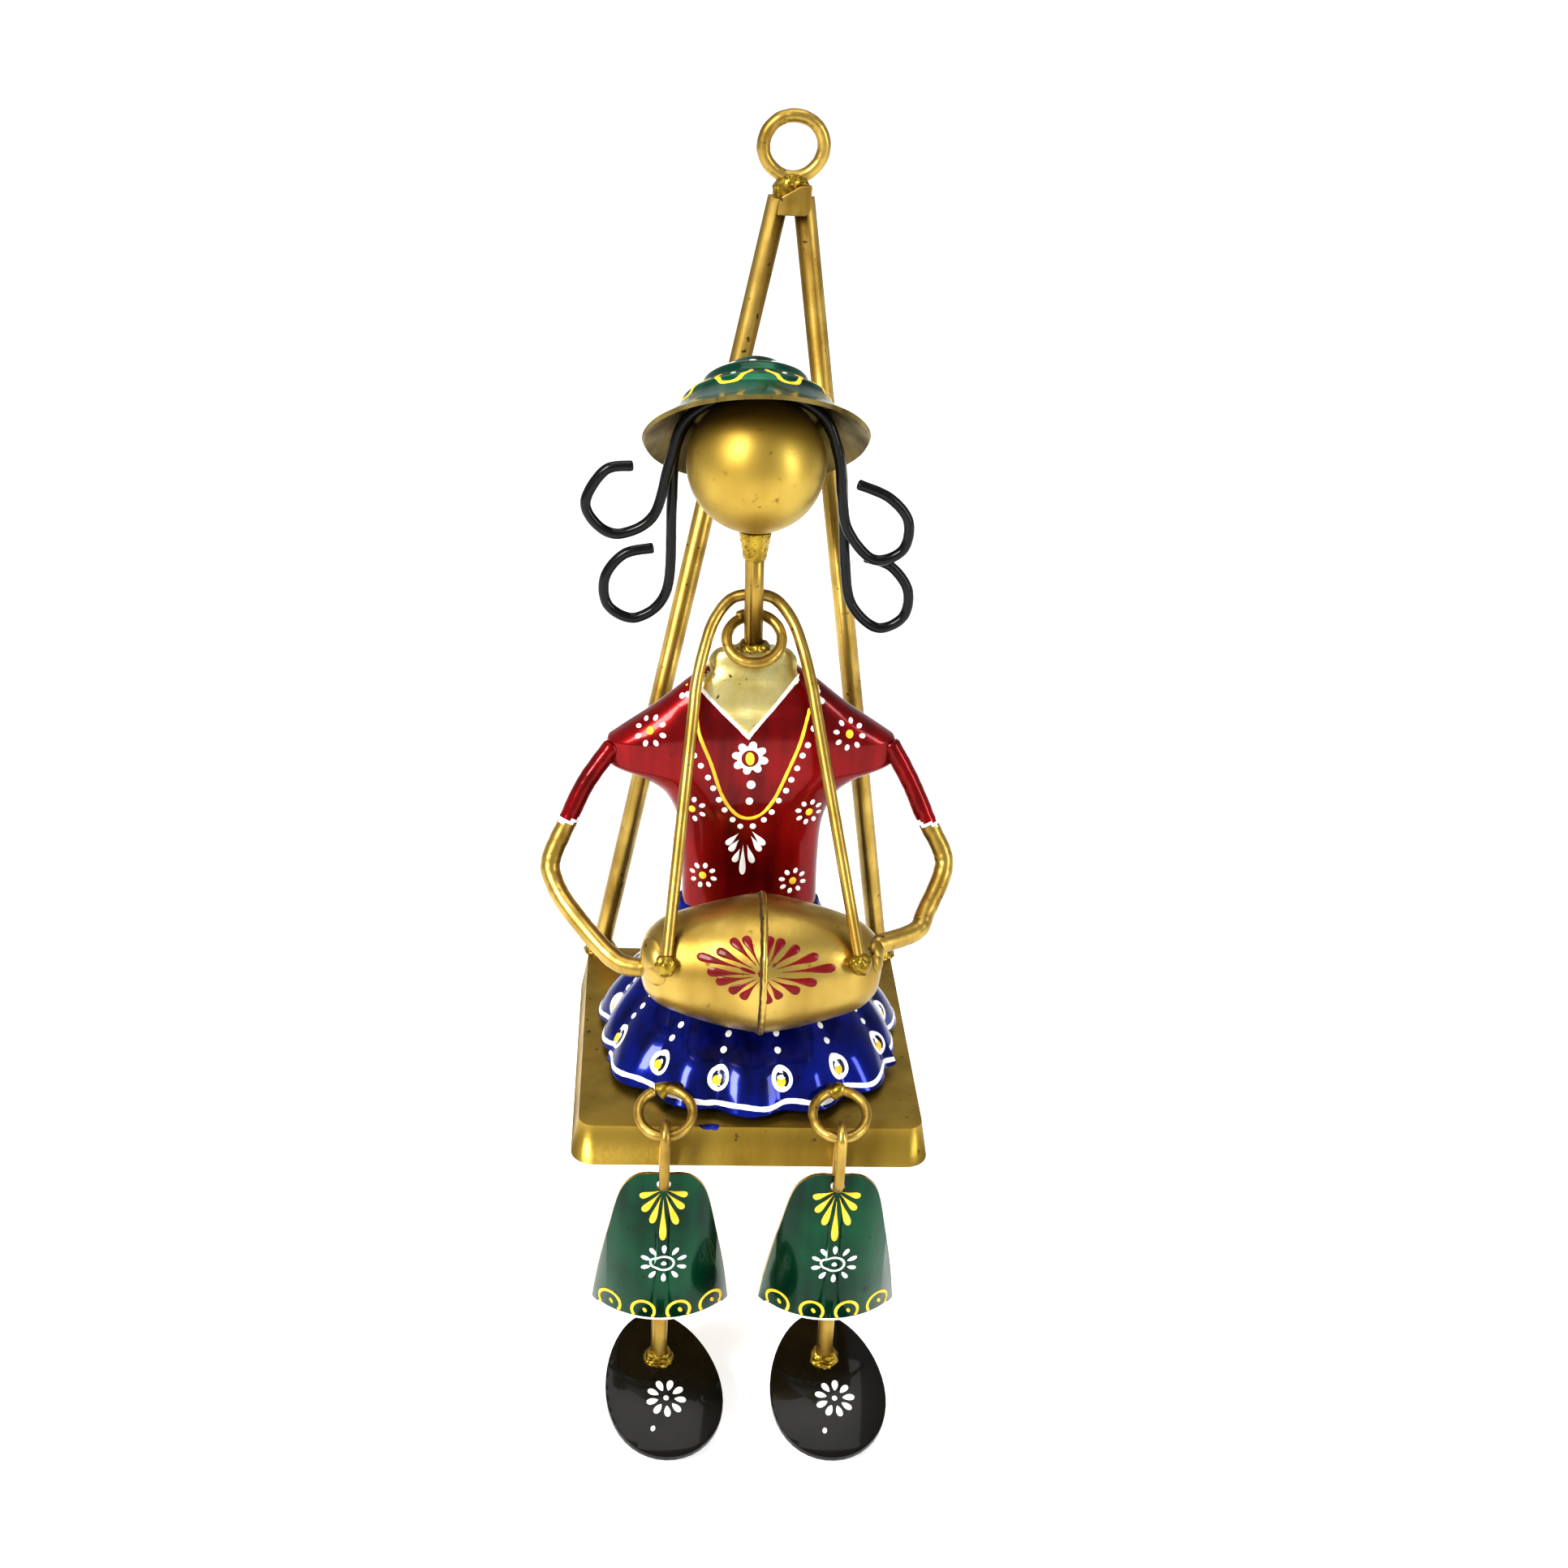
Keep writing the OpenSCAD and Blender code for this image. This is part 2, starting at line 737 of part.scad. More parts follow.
// Lumps of weld that join the backs of the leg rings to the skirt just above its hem
module ring_welds() {
    back = 2 * ring_r * sin(ring_tilt);
    rise = 2 * ring_r * cos(ring_tilt);
    weld_l = skirt_y - hem_r / 2 - ring_y - back;
    color(gold)
        difference() {
            for (side = [-1, 1])
                at_ring(side)
                    translate([0, back, rise])
                        rotate([-90, 0, 0])
                            cylinder(d = ring_weld_d, h = weld_l, $fn = 32);
            skirt_form(0, 0, 0);
            translate([seat_x - hem_r / 2, skirt_y - hem_r / 2, seat_z]) cube([hem_r, hem_r, 20]);
            leg_ring(-1);
            leg_ring(1);
        }
}

// A long wire link, hanging in the YZ plane with its upper round end about the ring's wire
module leg_link(side) {
    color(gold)
        at_ring(side)
            rotate([0, -90, 0]) {
                for (end = [[0, -90], [-link_l, 90]])
                    translate([end[0], 0, 0])
                        rotate([0, 0, end[1]])
                            rotate_extrude(angle = 180, $fn = 64)
                                translate([link_r, 0]) circle(d = link_d, $fn = 32);
                for (s = [-1, 1])
                    translate([-link_l, s * link_r, 0])
                        rotate([0, 90, 0]) cylinder(d = link_d, h = link_l, $fn = 32);
            }
}

module leg_link_left() {
    leg_link(-1);
}

module leg_link_right() {
    leg_link(1);
}

// Moves its children to a leg's pivot, the middle of the link's lower wire
module at_pivot(side) {
    translate([seat_x + side * leg_x, ring_y, pivot_z]) children();
}

// One edge of a trouser plate from its hem to its top
function trouser_edge(s) =
    let (w = s * trouser_w, low = trouser_top - trouser_h)
        [[w, low], [w * 0.91, low + trouser_h * 0.26], [w * 0.77, low + trouser_h * 0.56],
            [w * 0.62, trouser_top - 6.4], [w * 0.44, trouser_top - 1.8], [w * 0.2, trouser_top]];

// The whole outline of a trouser plate, from one hem corner over its top to the other
function trouser_outline() =
    let (up = trouser_edge(-1), down = trouser_edge(1), last = len(down) - 1)
        curve(concat(up, [for (i = [last : -1 : 0]) down[i]]), 4);

// A curved trouser plate with a rounded top and the hole that the link passes through
module trouser(side) {
    low = trouser_top - trouser_h;
    color(green)
        at_pivot(side)
            difference() {
                intersection() {
                    translate([0, trouser_r - trouser_wall / 2, low])
                        cylinder(r = trouser_r, h = trouser_h, $fn = 128);
                    translate([0, 8, 0])
                        rotate([90, 0, 0])
                            linear_extrude(20) polygon(trouser_outline());
                }
                translate([0, trouser_r - trouser_wall / 2, low - 1])
                    cylinder(r = trouser_r - trouser_wall, h = trouser_h + 2, $fn = 128);
                rotate([90, 0, 0]) cylinder(r = hole_r, h = 10, center = true, $fn = 48);
            }
}

// Moves its children to where the shin rod stands on the shoe, with y towards the heel
module on_shoe(side) {
    at_pivot(side)
        translate([0, shin_y, shoe_z])
            rotate([shoe_tilt, 0, side < 0 ? shoe_turn_left : shoe_turn_right])
                children();
}

module shoe_dome_form(drop) {
    translate([0, 0, -shoe_dome - drop]) sphere(r = shoe_dome, $fn = 192);
}

module shin_rod(side) {
    color(gold)
        difference() {
            at_pivot(side)
                translate([0, shin_y, shoe_z - shin_d])
                    cylinder(d = shin_d, h = shin_top - shoe_z + shin_d, $fn = 48);
            on_shoe(side) shoe_dome_form(0);
        }
}

// An egg-shaped sole plate, domed upwards, narrow at the heel
module shoe(side) {
    mid = heel_back - shoe_l / 2;
    egg = [
        for (i = [0 : 47]) let (a = 7.5 * i)
            [shoe_w * sin(a) * (1 - 0.2 * cos(a)) / 1.02, mid + shoe_l / 2 * cos(a)]
    ];
    color(black)
        on_shoe(side)
            intersection() {
                difference() {
                    shoe_dome_form(0);
                    shoe_dome_form(shoe_t);
                }
                translate([0, 0, -20]) linear_extrude(30) polygon(egg);
            }
}

// A bead of weld round the shin on the shoe, and one behind the trouser plate
module leg_welds(side) {
    color(gold)
        difference() {
            union() {
                on_shoe(side)
                    translate([0, 0, -1])
                        cylinder(r1 = shin_d / 2 + shoe_weld_w, r2 = shin_d / 2 + 0.4, h = 3, $fn = 48);
                at_pivot(side)
                    translate([0, shin_y - 0.4, shin_top - 6]) sphere(d = shin_d + shoe_weld_w, $fn = 48);
            }
            on_shoe(side) shoe_dome_form(0);
            at_pivot(side) {
                translate([0, shin_y, shoe_z - 5]) cylinder(d = shin_d, h = -shoe_z + 10, $fn = 48);
                translate([0, -trouser_wall / 2, 0]) {
                    translate([0, trouser_r, shoe_z])
                        difference() {
                            cylinder(r = trouser_r + 10, h = -shoe_z, $fn = 128);
                            translate([0, 0, -1])
                                cylinder(r = trouser_r - trouser_wall, h = 2 - shoe_z, $fn = 128);
                        }
                }
            }
        }
}

module trouser_left() {
    trouser(-1);
}

module trouser_right() {
    trouser(1);
}

module shin_rod_left() {
    shin_rod(-1);
}

module shin_rod_right() {
    shin_rod(1);
}

module shoe_left() {
    shoe(-1);
}

module shoe_right() {
    shoe(1);
}

module leg_welds_left() {
    leg_welds(-1);
}

module leg_welds_right() {
    leg_welds(1);
}

hanging_eye();
eye_gusset();
eye_weld();
frame_rod_left();
frame_rod_right();
seat_tray();
rod_foot_welds();
skirt();
skirt_tacks();
torso_front();
torso_back();
neck_rod();
neck_welds();
head_ball();
hat();
hat_stud();
hair_wire_upper();
hair_wire_lower();
arm_left();
arm_right();
drum_cup_left();
drum_cup_right();
drum_seam();
drum_stud();
drum_strap();
strap_welds();
leg_ring_left();
leg_ring_right();
ring_welds();
collar_ring();
leg_link_left();
leg_link_right();
trouser_left();
shin_rod_left();
shoe_left();
leg_welds_left();
trouser_right();
shin_rod_right();
shoe_right();
leg_welds_right();
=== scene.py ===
from math import atan2, cos, pi, radians, sin, sqrt

import bmesh
import bpy
from mathutils import Matrix, Vector, noise
from mathutils.bvhtree import BVHTree
from mathutils.geometry import delaunay_2d_cdt


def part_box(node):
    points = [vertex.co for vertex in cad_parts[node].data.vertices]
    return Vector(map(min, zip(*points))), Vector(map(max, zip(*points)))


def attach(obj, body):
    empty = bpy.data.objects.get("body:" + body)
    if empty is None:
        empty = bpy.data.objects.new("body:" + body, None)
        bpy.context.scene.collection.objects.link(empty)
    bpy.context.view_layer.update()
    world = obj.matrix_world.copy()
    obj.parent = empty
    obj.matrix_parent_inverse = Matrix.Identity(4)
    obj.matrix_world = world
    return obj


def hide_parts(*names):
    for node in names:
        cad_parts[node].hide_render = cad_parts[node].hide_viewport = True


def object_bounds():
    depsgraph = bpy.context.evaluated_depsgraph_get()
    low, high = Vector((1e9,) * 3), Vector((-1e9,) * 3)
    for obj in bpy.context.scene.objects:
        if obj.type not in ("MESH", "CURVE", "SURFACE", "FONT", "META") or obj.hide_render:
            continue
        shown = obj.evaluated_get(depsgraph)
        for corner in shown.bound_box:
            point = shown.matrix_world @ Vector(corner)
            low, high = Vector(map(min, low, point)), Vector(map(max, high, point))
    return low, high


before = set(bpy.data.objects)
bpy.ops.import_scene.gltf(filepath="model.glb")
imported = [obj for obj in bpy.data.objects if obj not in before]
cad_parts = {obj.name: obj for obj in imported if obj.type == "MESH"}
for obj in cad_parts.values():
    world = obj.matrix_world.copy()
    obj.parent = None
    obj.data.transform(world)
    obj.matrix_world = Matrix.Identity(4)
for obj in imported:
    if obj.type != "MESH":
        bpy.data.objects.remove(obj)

cad_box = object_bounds()
MM = 0.001


# ---- Tools: coats of paint, plain mesh, weld metal, node trees and bent wire. ----

def centre_of(node):
    low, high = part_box(node)
    return (low + high) / 2


def coat_group():
    """Patches, streaks, specks and grit of a coat of paint put on by hand."""
    group = bpy.data.node_groups.new("hand_coat", "ShaderNodeTree")
    for label, start in (("Patch Size", 90.0), ("Streak Size", 260.0), ("Speck Size", 700.0),
                         ("Grit Size", 1500.0)):
        group.interface.new_socket(label, in_out="INPUT", socket_type="NodeSocketFloat").default_value = start
    for label in ("Tone", "Specks", "Relief"):
        group.interface.new_socket(label, in_out="OUTPUT", socket_type="NodeSocketFloat")
    nodes, link = group.nodes, group.links.new
    given, out = nodes.new("NodeGroupInput"), nodes.new("NodeGroupOutput")
    place = nodes.new("ShaderNodeTexCoord")

    def cloud(size, detail, stretch=None):
        tex = nodes.new("ShaderNodeTexNoise")
        tex.inputs["Detail"].default_value = detail
        link(given.outputs[size], tex.inputs["Scale"])
        if stretch:
            turn = nodes.new("ShaderNodeMapping")
            turn.inputs["Scale"].default_value = stretch
            link(place.outputs["Object"], turn.inputs["Vector"])
            link(turn.outputs["Vector"], tex.inputs["Vector"])
        else:
            link(place.outputs["Object"], tex.inputs["Vector"])
        return tex.outputs["Fac"]

    def spread(value, low, high):
        step = nodes.new("ShaderNodeMapRange")
        step.inputs["From Min"].default_value = low
        step.inputs["From Max"].default_value = high
        link(value, step.inputs["Value"])
        return step.outputs["Result"]

    def sum_of(kind, a, b):
        step = nodes.new("ShaderNodeMath")
        step.operation = kind
        for socket, value in zip(step.inputs, (a, b)):
            if isinstance(value, float):
                socket.default_value = value
            else:
                link(value, socket)
        return step.outputs["Value"]

    patches = cloud("Patch Size", 3.0)
    streaks = cloud("Streak Size", 2.0, (1.0, 1.0, 0.12))
    mixed = sum_of("ADD", sum_of("MULTIPLY", patches, 0.6), sum_of("MULTIPLY", streaks, 0.4))
    link(spread(mixed, 0.36, 0.64), out.inputs["Tone"])
    link(spread(cloud("Speck Size", 4.0), 0.66, 0.74), out.inputs["Specks"])
    grit = cloud("Grit Size", 2.0)
    relief = sum_of("ADD", sum_of("MULTIPLY", grit, 0.35), sum_of("MULTIPLY", streaks, 0.65))
    link(relief, out.inputs["Relief"])
    return group


hand_coat = coat_group()


def coat(name, dark, light, rough, metallic, gloss=0.0, bump=0.25, sizes=(90.0, 260.0, 700.0, 1500.0),
         speck=(0.05, 0.035, 0.015)):
    """A painted finish: two tones of one colour, specks of dirt, and the relief of the coat."""
    paint = bpy.data.materials.new(name)
    paint.use_nodes = True
    nodes, link = paint.node_tree.nodes, paint.node_tree.links.new
    skin = nodes["Principled BSDF"]
    layer = nodes.new("ShaderNodeGroup")
    layer.node_tree = hand_coat
    for socket, size in zip(layer.inputs, sizes):
        socket.default_value = size
    tones = nodes.new("ShaderNodeMix")
    tones.data_type = "RGBA"
    tones.inputs["A"].default_value = (*dark, 1)
    tones.inputs["B"].default_value = (*light, 1)
    link(layer.outputs["Tone"], tones.inputs["Factor"])
    dirt = nodes.new("ShaderNodeMix")
    dirt.data_type = "RGBA"
    dirt.inputs["B"].default_value = (*speck, 1)
    link(layer.outputs["Specks"], dirt.inputs["Factor"])
    link(tones.outputs["Result"], dirt.inputs["A"])
    link(dirt.outputs["Result"], skin.inputs["Base Color"])
    sheen = nodes.new("ShaderNodeMapRange")
    sheen.inputs["To Min"].default_value = rough * 1.25
    sheen.inputs["To Max"].default_value = rough * 0.85
    link(layer.outputs["Tone"], sheen.inputs["Value"])
    link(sheen.outputs["Result"], skin.inputs["Roughness"])
    lift = nodes.new("ShaderNodeBump")
    lift.inputs["Strength"].default_value = bump
    lift.inputs["Distance"].default_value = 0.2 * MM
    link(layer.outputs["Relief"], lift.inputs["Height"])
    link(lift.outputs["Normal"], skin.inputs["Normal"])
    skin.inputs["Metallic"].default_value = metallic
    skin.inputs["Coat Weight"].default_value = gloss
    skin.inputs["Specular IOR Level"].default_value = 0.12 if gloss else 0.4
    skin.inputs["Coat Roughness"].default_value = 0.05
    skin.inputs["Coat IOR"].default_value = 1.4
    return paint


gold_coat = coat("gold_coat", (0.21, 0.127, 0.022), (0.49, 0.335, 0.085), 0.35, 0.95)
weld_coat = coat("gold_over_weld", (0.15, 0.09, 0.01), (0.42, 0.29, 0.04), 0.32, 0.95, bump=0.7,
                 sizes=(240.0, 500.0, 900.0, 900.0))


def finished(piece, body, slot, *stands_for):
    """Smooth shading, then the body that the piece moves with and the nodes that it stands for."""
    for face in piece.data.polygons:
        face.use_smooth = True
    piece.data.set_sharp_from_angle(angle=radians(42))
    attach(piece, body)
    if stands_for:
        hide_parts(*stands_for)
    return piece


def piece_from(name, mesh, material):
    made = bpy.data.objects.new(name, mesh)
    bpy.context.scene.collection.objects.link(made)
    if material:
        mesh.materials.clear()
        mesh.materials.append(material)
    return made


def mesh_from(bm, name):
    """A mesh made of what was built, which is then let go."""
    mesh = bpy.data.meshes.new(name)
    bm.to_mesh(mesh)
    bm.free()
    return mesh


def merged_copy(name, material, *nodes):
    """One mesh from copies of CAD nodes, with the corners of its triangles joined."""
    bm = bmesh.new()
    for node in nodes:
        bm.from_mesh(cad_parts[node].data)
    bmesh.ops.remove_doubles(bm, verts=bm.verts, dist=0.002 * MM)
    mesh = mesh_from(bm, name)
    for face in mesh.polygons:
        face.material_index = 0
    return piece_from(name, mesh, material)


def baked(piece):
    """The piece with its modifiers made into plain mesh."""
    seen = piece.evaluated_get(bpy.context.evaluated_depsgraph_get())
    mesh = bpy.data.meshes.new_from_object(seen)
    piece.modifiers.clear()
    piece.data = mesh
    return piece


def softened(piece, width, segments, angle=None):
    """Rounds the piece's edges by a width in mm, where they turn by more than an angle in degrees."""
    edge = piece.modifiers.new("soft_edge", "BEVEL")
    edge.width, edge.segments, edge.limit_method = width * MM, segments, "ANGLE"
    if angle:
        edge.angle_limit = radians(angle)
    return baked(piece)


def lumpy(name, material, seed, rise, *nodes):
    """Weld metal: the CAD beads, remeshed and pushed in and out into soft lumps."""
    weld = merged_copy(name, material, *nodes)
    step = weld.modifiers.new("even_mesh", "REMESH")
    step.mode = "VOXEL"
    step.voxel_size = 0.22 * MM
    baked(weld)
    mesh = weld.data
    mesh.materials.clear()
    mesh.materials.append(material)
    push = []
    for v in mesh.vertices:
        p = v.co / MM
        wave = noise.noise(p * 0.9 + Vector((seed, 0, 0))) + 0.5 * noise.noise(p * 2.1 + Vector((0, seed, 0)))
        push.append(v.co + v.normal * (wave * rise + 0.12) * MM)
    for v, spot in zip(mesh.vertices, push):
        v.co = spot
    return weld


def new_tree(name, *sockets):
    tree = bpy.data.node_groups.new(name, "GeometryNodeTree")
    tree.interface.new_socket("Geometry", in_out="INPUT", socket_type="NodeSocketGeometry")
    tree.interface.new_socket("Geometry", in_out="OUTPUT", socket_type="NodeSocketGeometry")
    for label, kind, start in sockets:
        socket = tree.interface.new_socket(label, in_out="INPUT", socket_type="NodeSocket" + kind)
        if start is not None:
            socket.default_value = start
    return tree, tree.nodes.new("NodeGroupInput"), tree.nodes.new("NodeGroupOutput")


def kept_value(tree, name, kind="FLOAT"):
    """What the points carry under a name."""
    item = tree.nodes.new("GeometryNodeInputNamedAttribute")
    item.data_type = kind
    item.inputs["Name"].default_value = name
    return item.outputs["Attribute"]


def end_tree(tree, given, out, shape):
    """Makes the shape real and gives it the tree's material."""
    link = tree.links.new
    real, paint = (tree.nodes.new("GeometryNode" + k) for k in ("RealizeInstances", "SetMaterial"))
    link(shape, real.inputs["Geometry"])
    link(real.outputs["Geometry"], paint.inputs["Geometry"])
    link(given.outputs["Material"], paint.inputs["Material"])
    link(paint.outputs["Geometry"], out.inputs["Geometry"])
    return tree


def grown(piece, tree, **values):
    """Runs a tree on the piece and keeps the result as plain mesh."""
    step = piece.modifiers.new(tree.name, "NODES")
    step.node_group = tree
    for item in tree.interface.items_tree:
        if item.in_out == "INPUT" and item.name.replace(" ", "_") in values:
            step[item.identifier] = values[item.name.replace(" ", "_")]
    return baked(piece)


def wire_tree():
    """Bends round wire along the edges of a mesh; the attribute thick thins it towards its ends."""
    tree, given, out = new_tree("bent_wire", ("Radius", "Float", 0.001), ("Sides", "Int", 20),
                                ("Material", "Material", None))
    nodes, link = tree.nodes, tree.links.new
    route = nodes.new("GeometryNodeMeshToCurve")
    thick = kept_value(tree, "thick")
    width = nodes.new("GeometryNodeSetCurveRadius")
    ring = nodes.new("GeometryNodeCurvePrimitiveCircle")
    skin = nodes.new("GeometryNodeCurveToMesh")
    skin.inputs["Fill Caps"].default_value = True
    link(given.outputs["Geometry"], route.inputs["Mesh"])
    link(route.outputs["Curve"], width.inputs["Curve"])
    link(thick, width.inputs["Radius"])
    link(given.outputs["Sides"], ring.inputs["Resolution"])
    link(given.outputs["Radius"], ring.inputs["Radius"])
    link(width.outputs["Curve"], skin.inputs["Curve"])
    link(ring.outputs["Curve"], skin.inputs["Profile Curve"])
    if "Scale" in skin.inputs:
        link(thick, skin.inputs["Scale"])
    return end_tree(tree, given, out, skin.outputs["Mesh"])


bent_wire = wire_tree()


def curve_through(points, steps, closed=False):
    """Points of a smooth curve through the given ones."""
    line, n = [], len(points)
    for i in range(n if closed else n - 1):
        a, b, c, d = (points[(i + k) % n] if closed else points[min(max(i + k, 0), n - 1)]
                      for k in (-1, 0, 1, 2))
        for j in range(steps):
            t = j / steps
            line.append(0.5 * (2 * b + (c - a) * t + (2 * a - 5 * b + 4 * c - d) * t * t
                               + (3 * b - a - 3 * c + d) * t ** 3))
    return line if closed else line + [points[-1]]


def wire(name, lines, radius, material, closed=False, sides=20, uneven=0.0):
    """Lengths of bent wire along lists of points; the ends of an open one are rounded."""
    bm = bmesh.new()
    thick = bm.verts.layers.float.new("thick")
    for number, line in enumerate(lines):
        line = list(line)
        rims = [1 + uneven * noise.noise(p / MM * 0.8 + Vector((number, 0, 0))) for p in line]
        if not closed:
            for end, inner in ((0, 1), (-1, -2)):
                away = (line[end] - line[inner]).normalized() * radius
                extra = [(line[end] + away * 0.28, 0.86), (line[end] + away * 0.4, 0.45)]
                if end == 0:
                    line = [p for p, _ in reversed(extra)] + line
                    rims = [r for _, r in reversed(extra)] + rims
                else:
                    line += [p for p, _ in extra]
                    rims += [r for _, r in extra]
        made = [bm.verts.new(p) for p in line]
        for v, r in zip(made, rims):
            v[thick] = r
        for a, b in zip(made, made[1:] + (made[:1] if closed else [])):
            bm.edges.new((a, b))
    mesh = mesh_from(bm, name)
    piece = piece_from(name, mesh, None)
    grown(piece, bent_wire, Radius=radius, Sides=sides, Material=material)
    bm = bmesh.new()
    bm.from_mesh(piece.data)
    bmesh.ops.remove_doubles(bm, verts=bm.verts, dist=0.0005 * MM)
    bmesh.ops.recalc_face_normals(bm, faces=bm.faces)
    bm.to_mesh(piece.data)
    bm.free()
    return piece


# ---- Hanging frame: two round iron bars that lean together under a wire eye. ----
# They are welded at the top under a chip of plate, stand on the seat in beads of weld,
# and the whole frame is sprayed with one satin gold coat.

eye_low, eye_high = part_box("hanging_eye")
eye_wire_r = (eye_high.y - eye_low.y) / 2
eye_turn_r = (eye_high.x - eye_low.x) / 2 - eye_wire_r
eye_loop = [Vector((cos(a) * eye_turn_r * (1 + 0.018 * sin(2 * a + 0.7)), 0,
                    sin(a) * eye_turn_r * (1 + 0.014 * sin(3 * a)))) for a in (2 * pi * i / 96 for i in range(96))]
finished(wire("wire_eye", [eye_loop], eye_wire_r, gold_coat, closed=True, sides=28, uneven=0.05),
         "doll", "gold_paint", "hanging_eye")

for side in ("left", "right"):
    finished(merged_copy("frame_bar_" + side, gold_coat, "frame_rod_" + side), "doll", "gold_paint",
             "frame_rod_" + side)

chip = softened(merged_copy("eye_chip", gold_coat, "eye_gusset"), 0.35, 3)
finished(chip, "doll", "gold_paint", "eye_gusset")
finished(lumpy("eye_weld_metal", weld_coat, 3, 0.35, "eye_weld"), "doll", "gold_paint", "eye_weld")
finished(lumpy("bar_foot_weld_metal", weld_coat, 8, 0.3, "rod_foot_welds"), "doll", "gold_paint", "rod_foot_welds")


# ---- Seat: a shallow square tray pressed from thin sheet, upside down, with flared sides. ----
# Its corners are rounded by the press. The gold coat is thin and dusty on the top, and a drip of
# the skirt's blue enamel has run onto its front edge.

seat_coat = coat("seat_gold_coat", (0.2, 0.125, 0.018), (0.42, 0.28, 0.05), 0.38, 0.94, bump=0.4,
                 sizes=(45.0, 120.0, 420.0, 900.0))
tray = softened(merged_copy("pressed_seat", seat_coat, "seat_tray"), 0.7, 3, 50)
finished(tray, "doll", "gold_paint", "seat_tray")


# ---- Skirt: a cone of thin sheet, pleated all round and tacked to the seat inside its hem. ----
# The front panel laps over the sides in two deep folds. It is lacquered blue, then painted by hand:
# a white line along the hem, and rows of dots that run down to white drops with a yellow eye.

def enamel(name, dark, light, rough=0.22, metallic=0.35, bump=0.12, sizes=(70.0, 300.0, 800.0, 700.0)):
    return coat(name, dark, light, rough, metallic, gloss=0.35, bump=bump, sizes=sizes, speck=dark)


blue_enamel = enamel("blue_enamel", (0.001, 0.003, 0.05), (0.003, 0.012, 0.23), rough=0.16, metallic=0.5)
white_paint = coat("white_paint", (0.72, 0.72, 0.7), (0.88, 0.88, 0.86), 0.35, 0.0, gloss=0.3, bump=0.3,
                   sizes=(400.0, 900.0, 1500.0, 1500.0), speck=(0.5, 0.5, 0.52))
yellow_paint = coat("yellow_paint", (0.78, 0.42, 0.02), (0.9, 0.6, 0.06), 0.35, 0.0, gloss=0.3, bump=0.3,
                    sizes=(400.0, 900.0, 1500.0, 1500.0), speck=(0.55, 0.3, 0.02))


def pleat_tree():
    """Throws a sheet in and out in pleats; turn is the angle round it, and down is 1 at its hem."""
    tree, given, out = new_tree("pleated_sheet", ("Pleats", "Float", 15.0), ("Depth", "Float", 0.001),
                                ("Crest", "Float", 0.0), ("Lap", "Float", 0.002), ("Lap Front", "Float", 1.1),
                                ("Material", "Material", None))
    nodes, link = tree.nodes, tree.links.new

    def calc(kind, a, b=None, c=None):
        item = nodes.new("ShaderNodeMath")
        item.operation = kind
        for socket, value in zip(item.inputs, (a, b, c)):
            if isinstance(value, (int, float)):
                socket.default_value = value
            elif value is not None:
                link(value, socket)
        return item.outputs["Value"]

    turn, down = kept_value(tree, "turn"), kept_value(tree, "down")
    half_turn = calc("MULTIPLY", calc("SUBTRACT", turn, given.outputs["Crest"]), given.outputs["Pleats"])
    wave = calc("SQRT", calc("ADD", calc("POWER", calc("COSINE", calc("MULTIPLY", half_turn, 0.5)), 2.0), 0.02))
    crest = calc("SUBTRACT", wave, 0.55)
    folds = calc("MULTIPLY", calc("MULTIPLY", crest, down), calc("MULTIPLY", given.outputs["Depth"], 2.0))
    from_front = calc("ABSOLUTE", calc("ADD", turn, pi / 2))
    past_lap = calc("MULTIPLY", calc("SUBTRACT", from_front, given.outputs["Lap Front"]), 60.0)
    under = calc("SMOOTH_MIN", calc("MAXIMUM", past_lap, 0.0), 1.0, 0.1)
    tuck = calc("MULTIPLY", calc("MULTIPLY", under, down), calc("MULTIPLY", given.outputs["Lap"], -1.0))
    push = calc("ADD", folds, tuck)
    aim = nodes.new("ShaderNodeCombineXYZ")
    link(calc("MULTIPLY", calc("COSINE", turn), push), aim.inputs["X"])
    link(calc("MULTIPLY", calc("SINE", turn), push), aim.inputs["Y"])
    move = nodes.new("GeometryNodeSetPosition")
    link(given.outputs["Geometry"], move.inputs["Geometry"])
    link(aim.outputs["Vector"], move.inputs["Offset"])
    return end_tree(tree, given, out, move.outputs["Geometry"])


skirt_low, skirt_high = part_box("skirt")
# angles round the skirt are in degrees from +X, so its front is at -90
pleats, first_valley, crest_at = 15, -79.5, -67.5
pleat_step = 360 / pleats
pleat = 0.9 * MM
skirt_wall = 0.9 * MM
lap, lap_front = 3.6 * MM, 1.1
hem_r = (skirt_high.x - skirt_low.x) / 2 - pleat
hem_mid = centre_of("skirt")
skirt_rise = skirt_high.z - skirt_low.z
waist_wide, waist_deep = 15.5 * MM, 7.6 * MM
skirt_cut = curve_through([Vector(p) for p in (
    (0, hem_r, hem_r), (0.14, hem_r - 2.4 * MM, hem_r - 2.9 * MM), (0.27, hem_r - 5.6 * MM, hem_r - 6.8 * MM),
    (0.5, 24.4 * MM, 19 * MM), (0.72, 19.6 * MM, 12.4 * MM), (1, waist_wide, waist_deep))], 7)


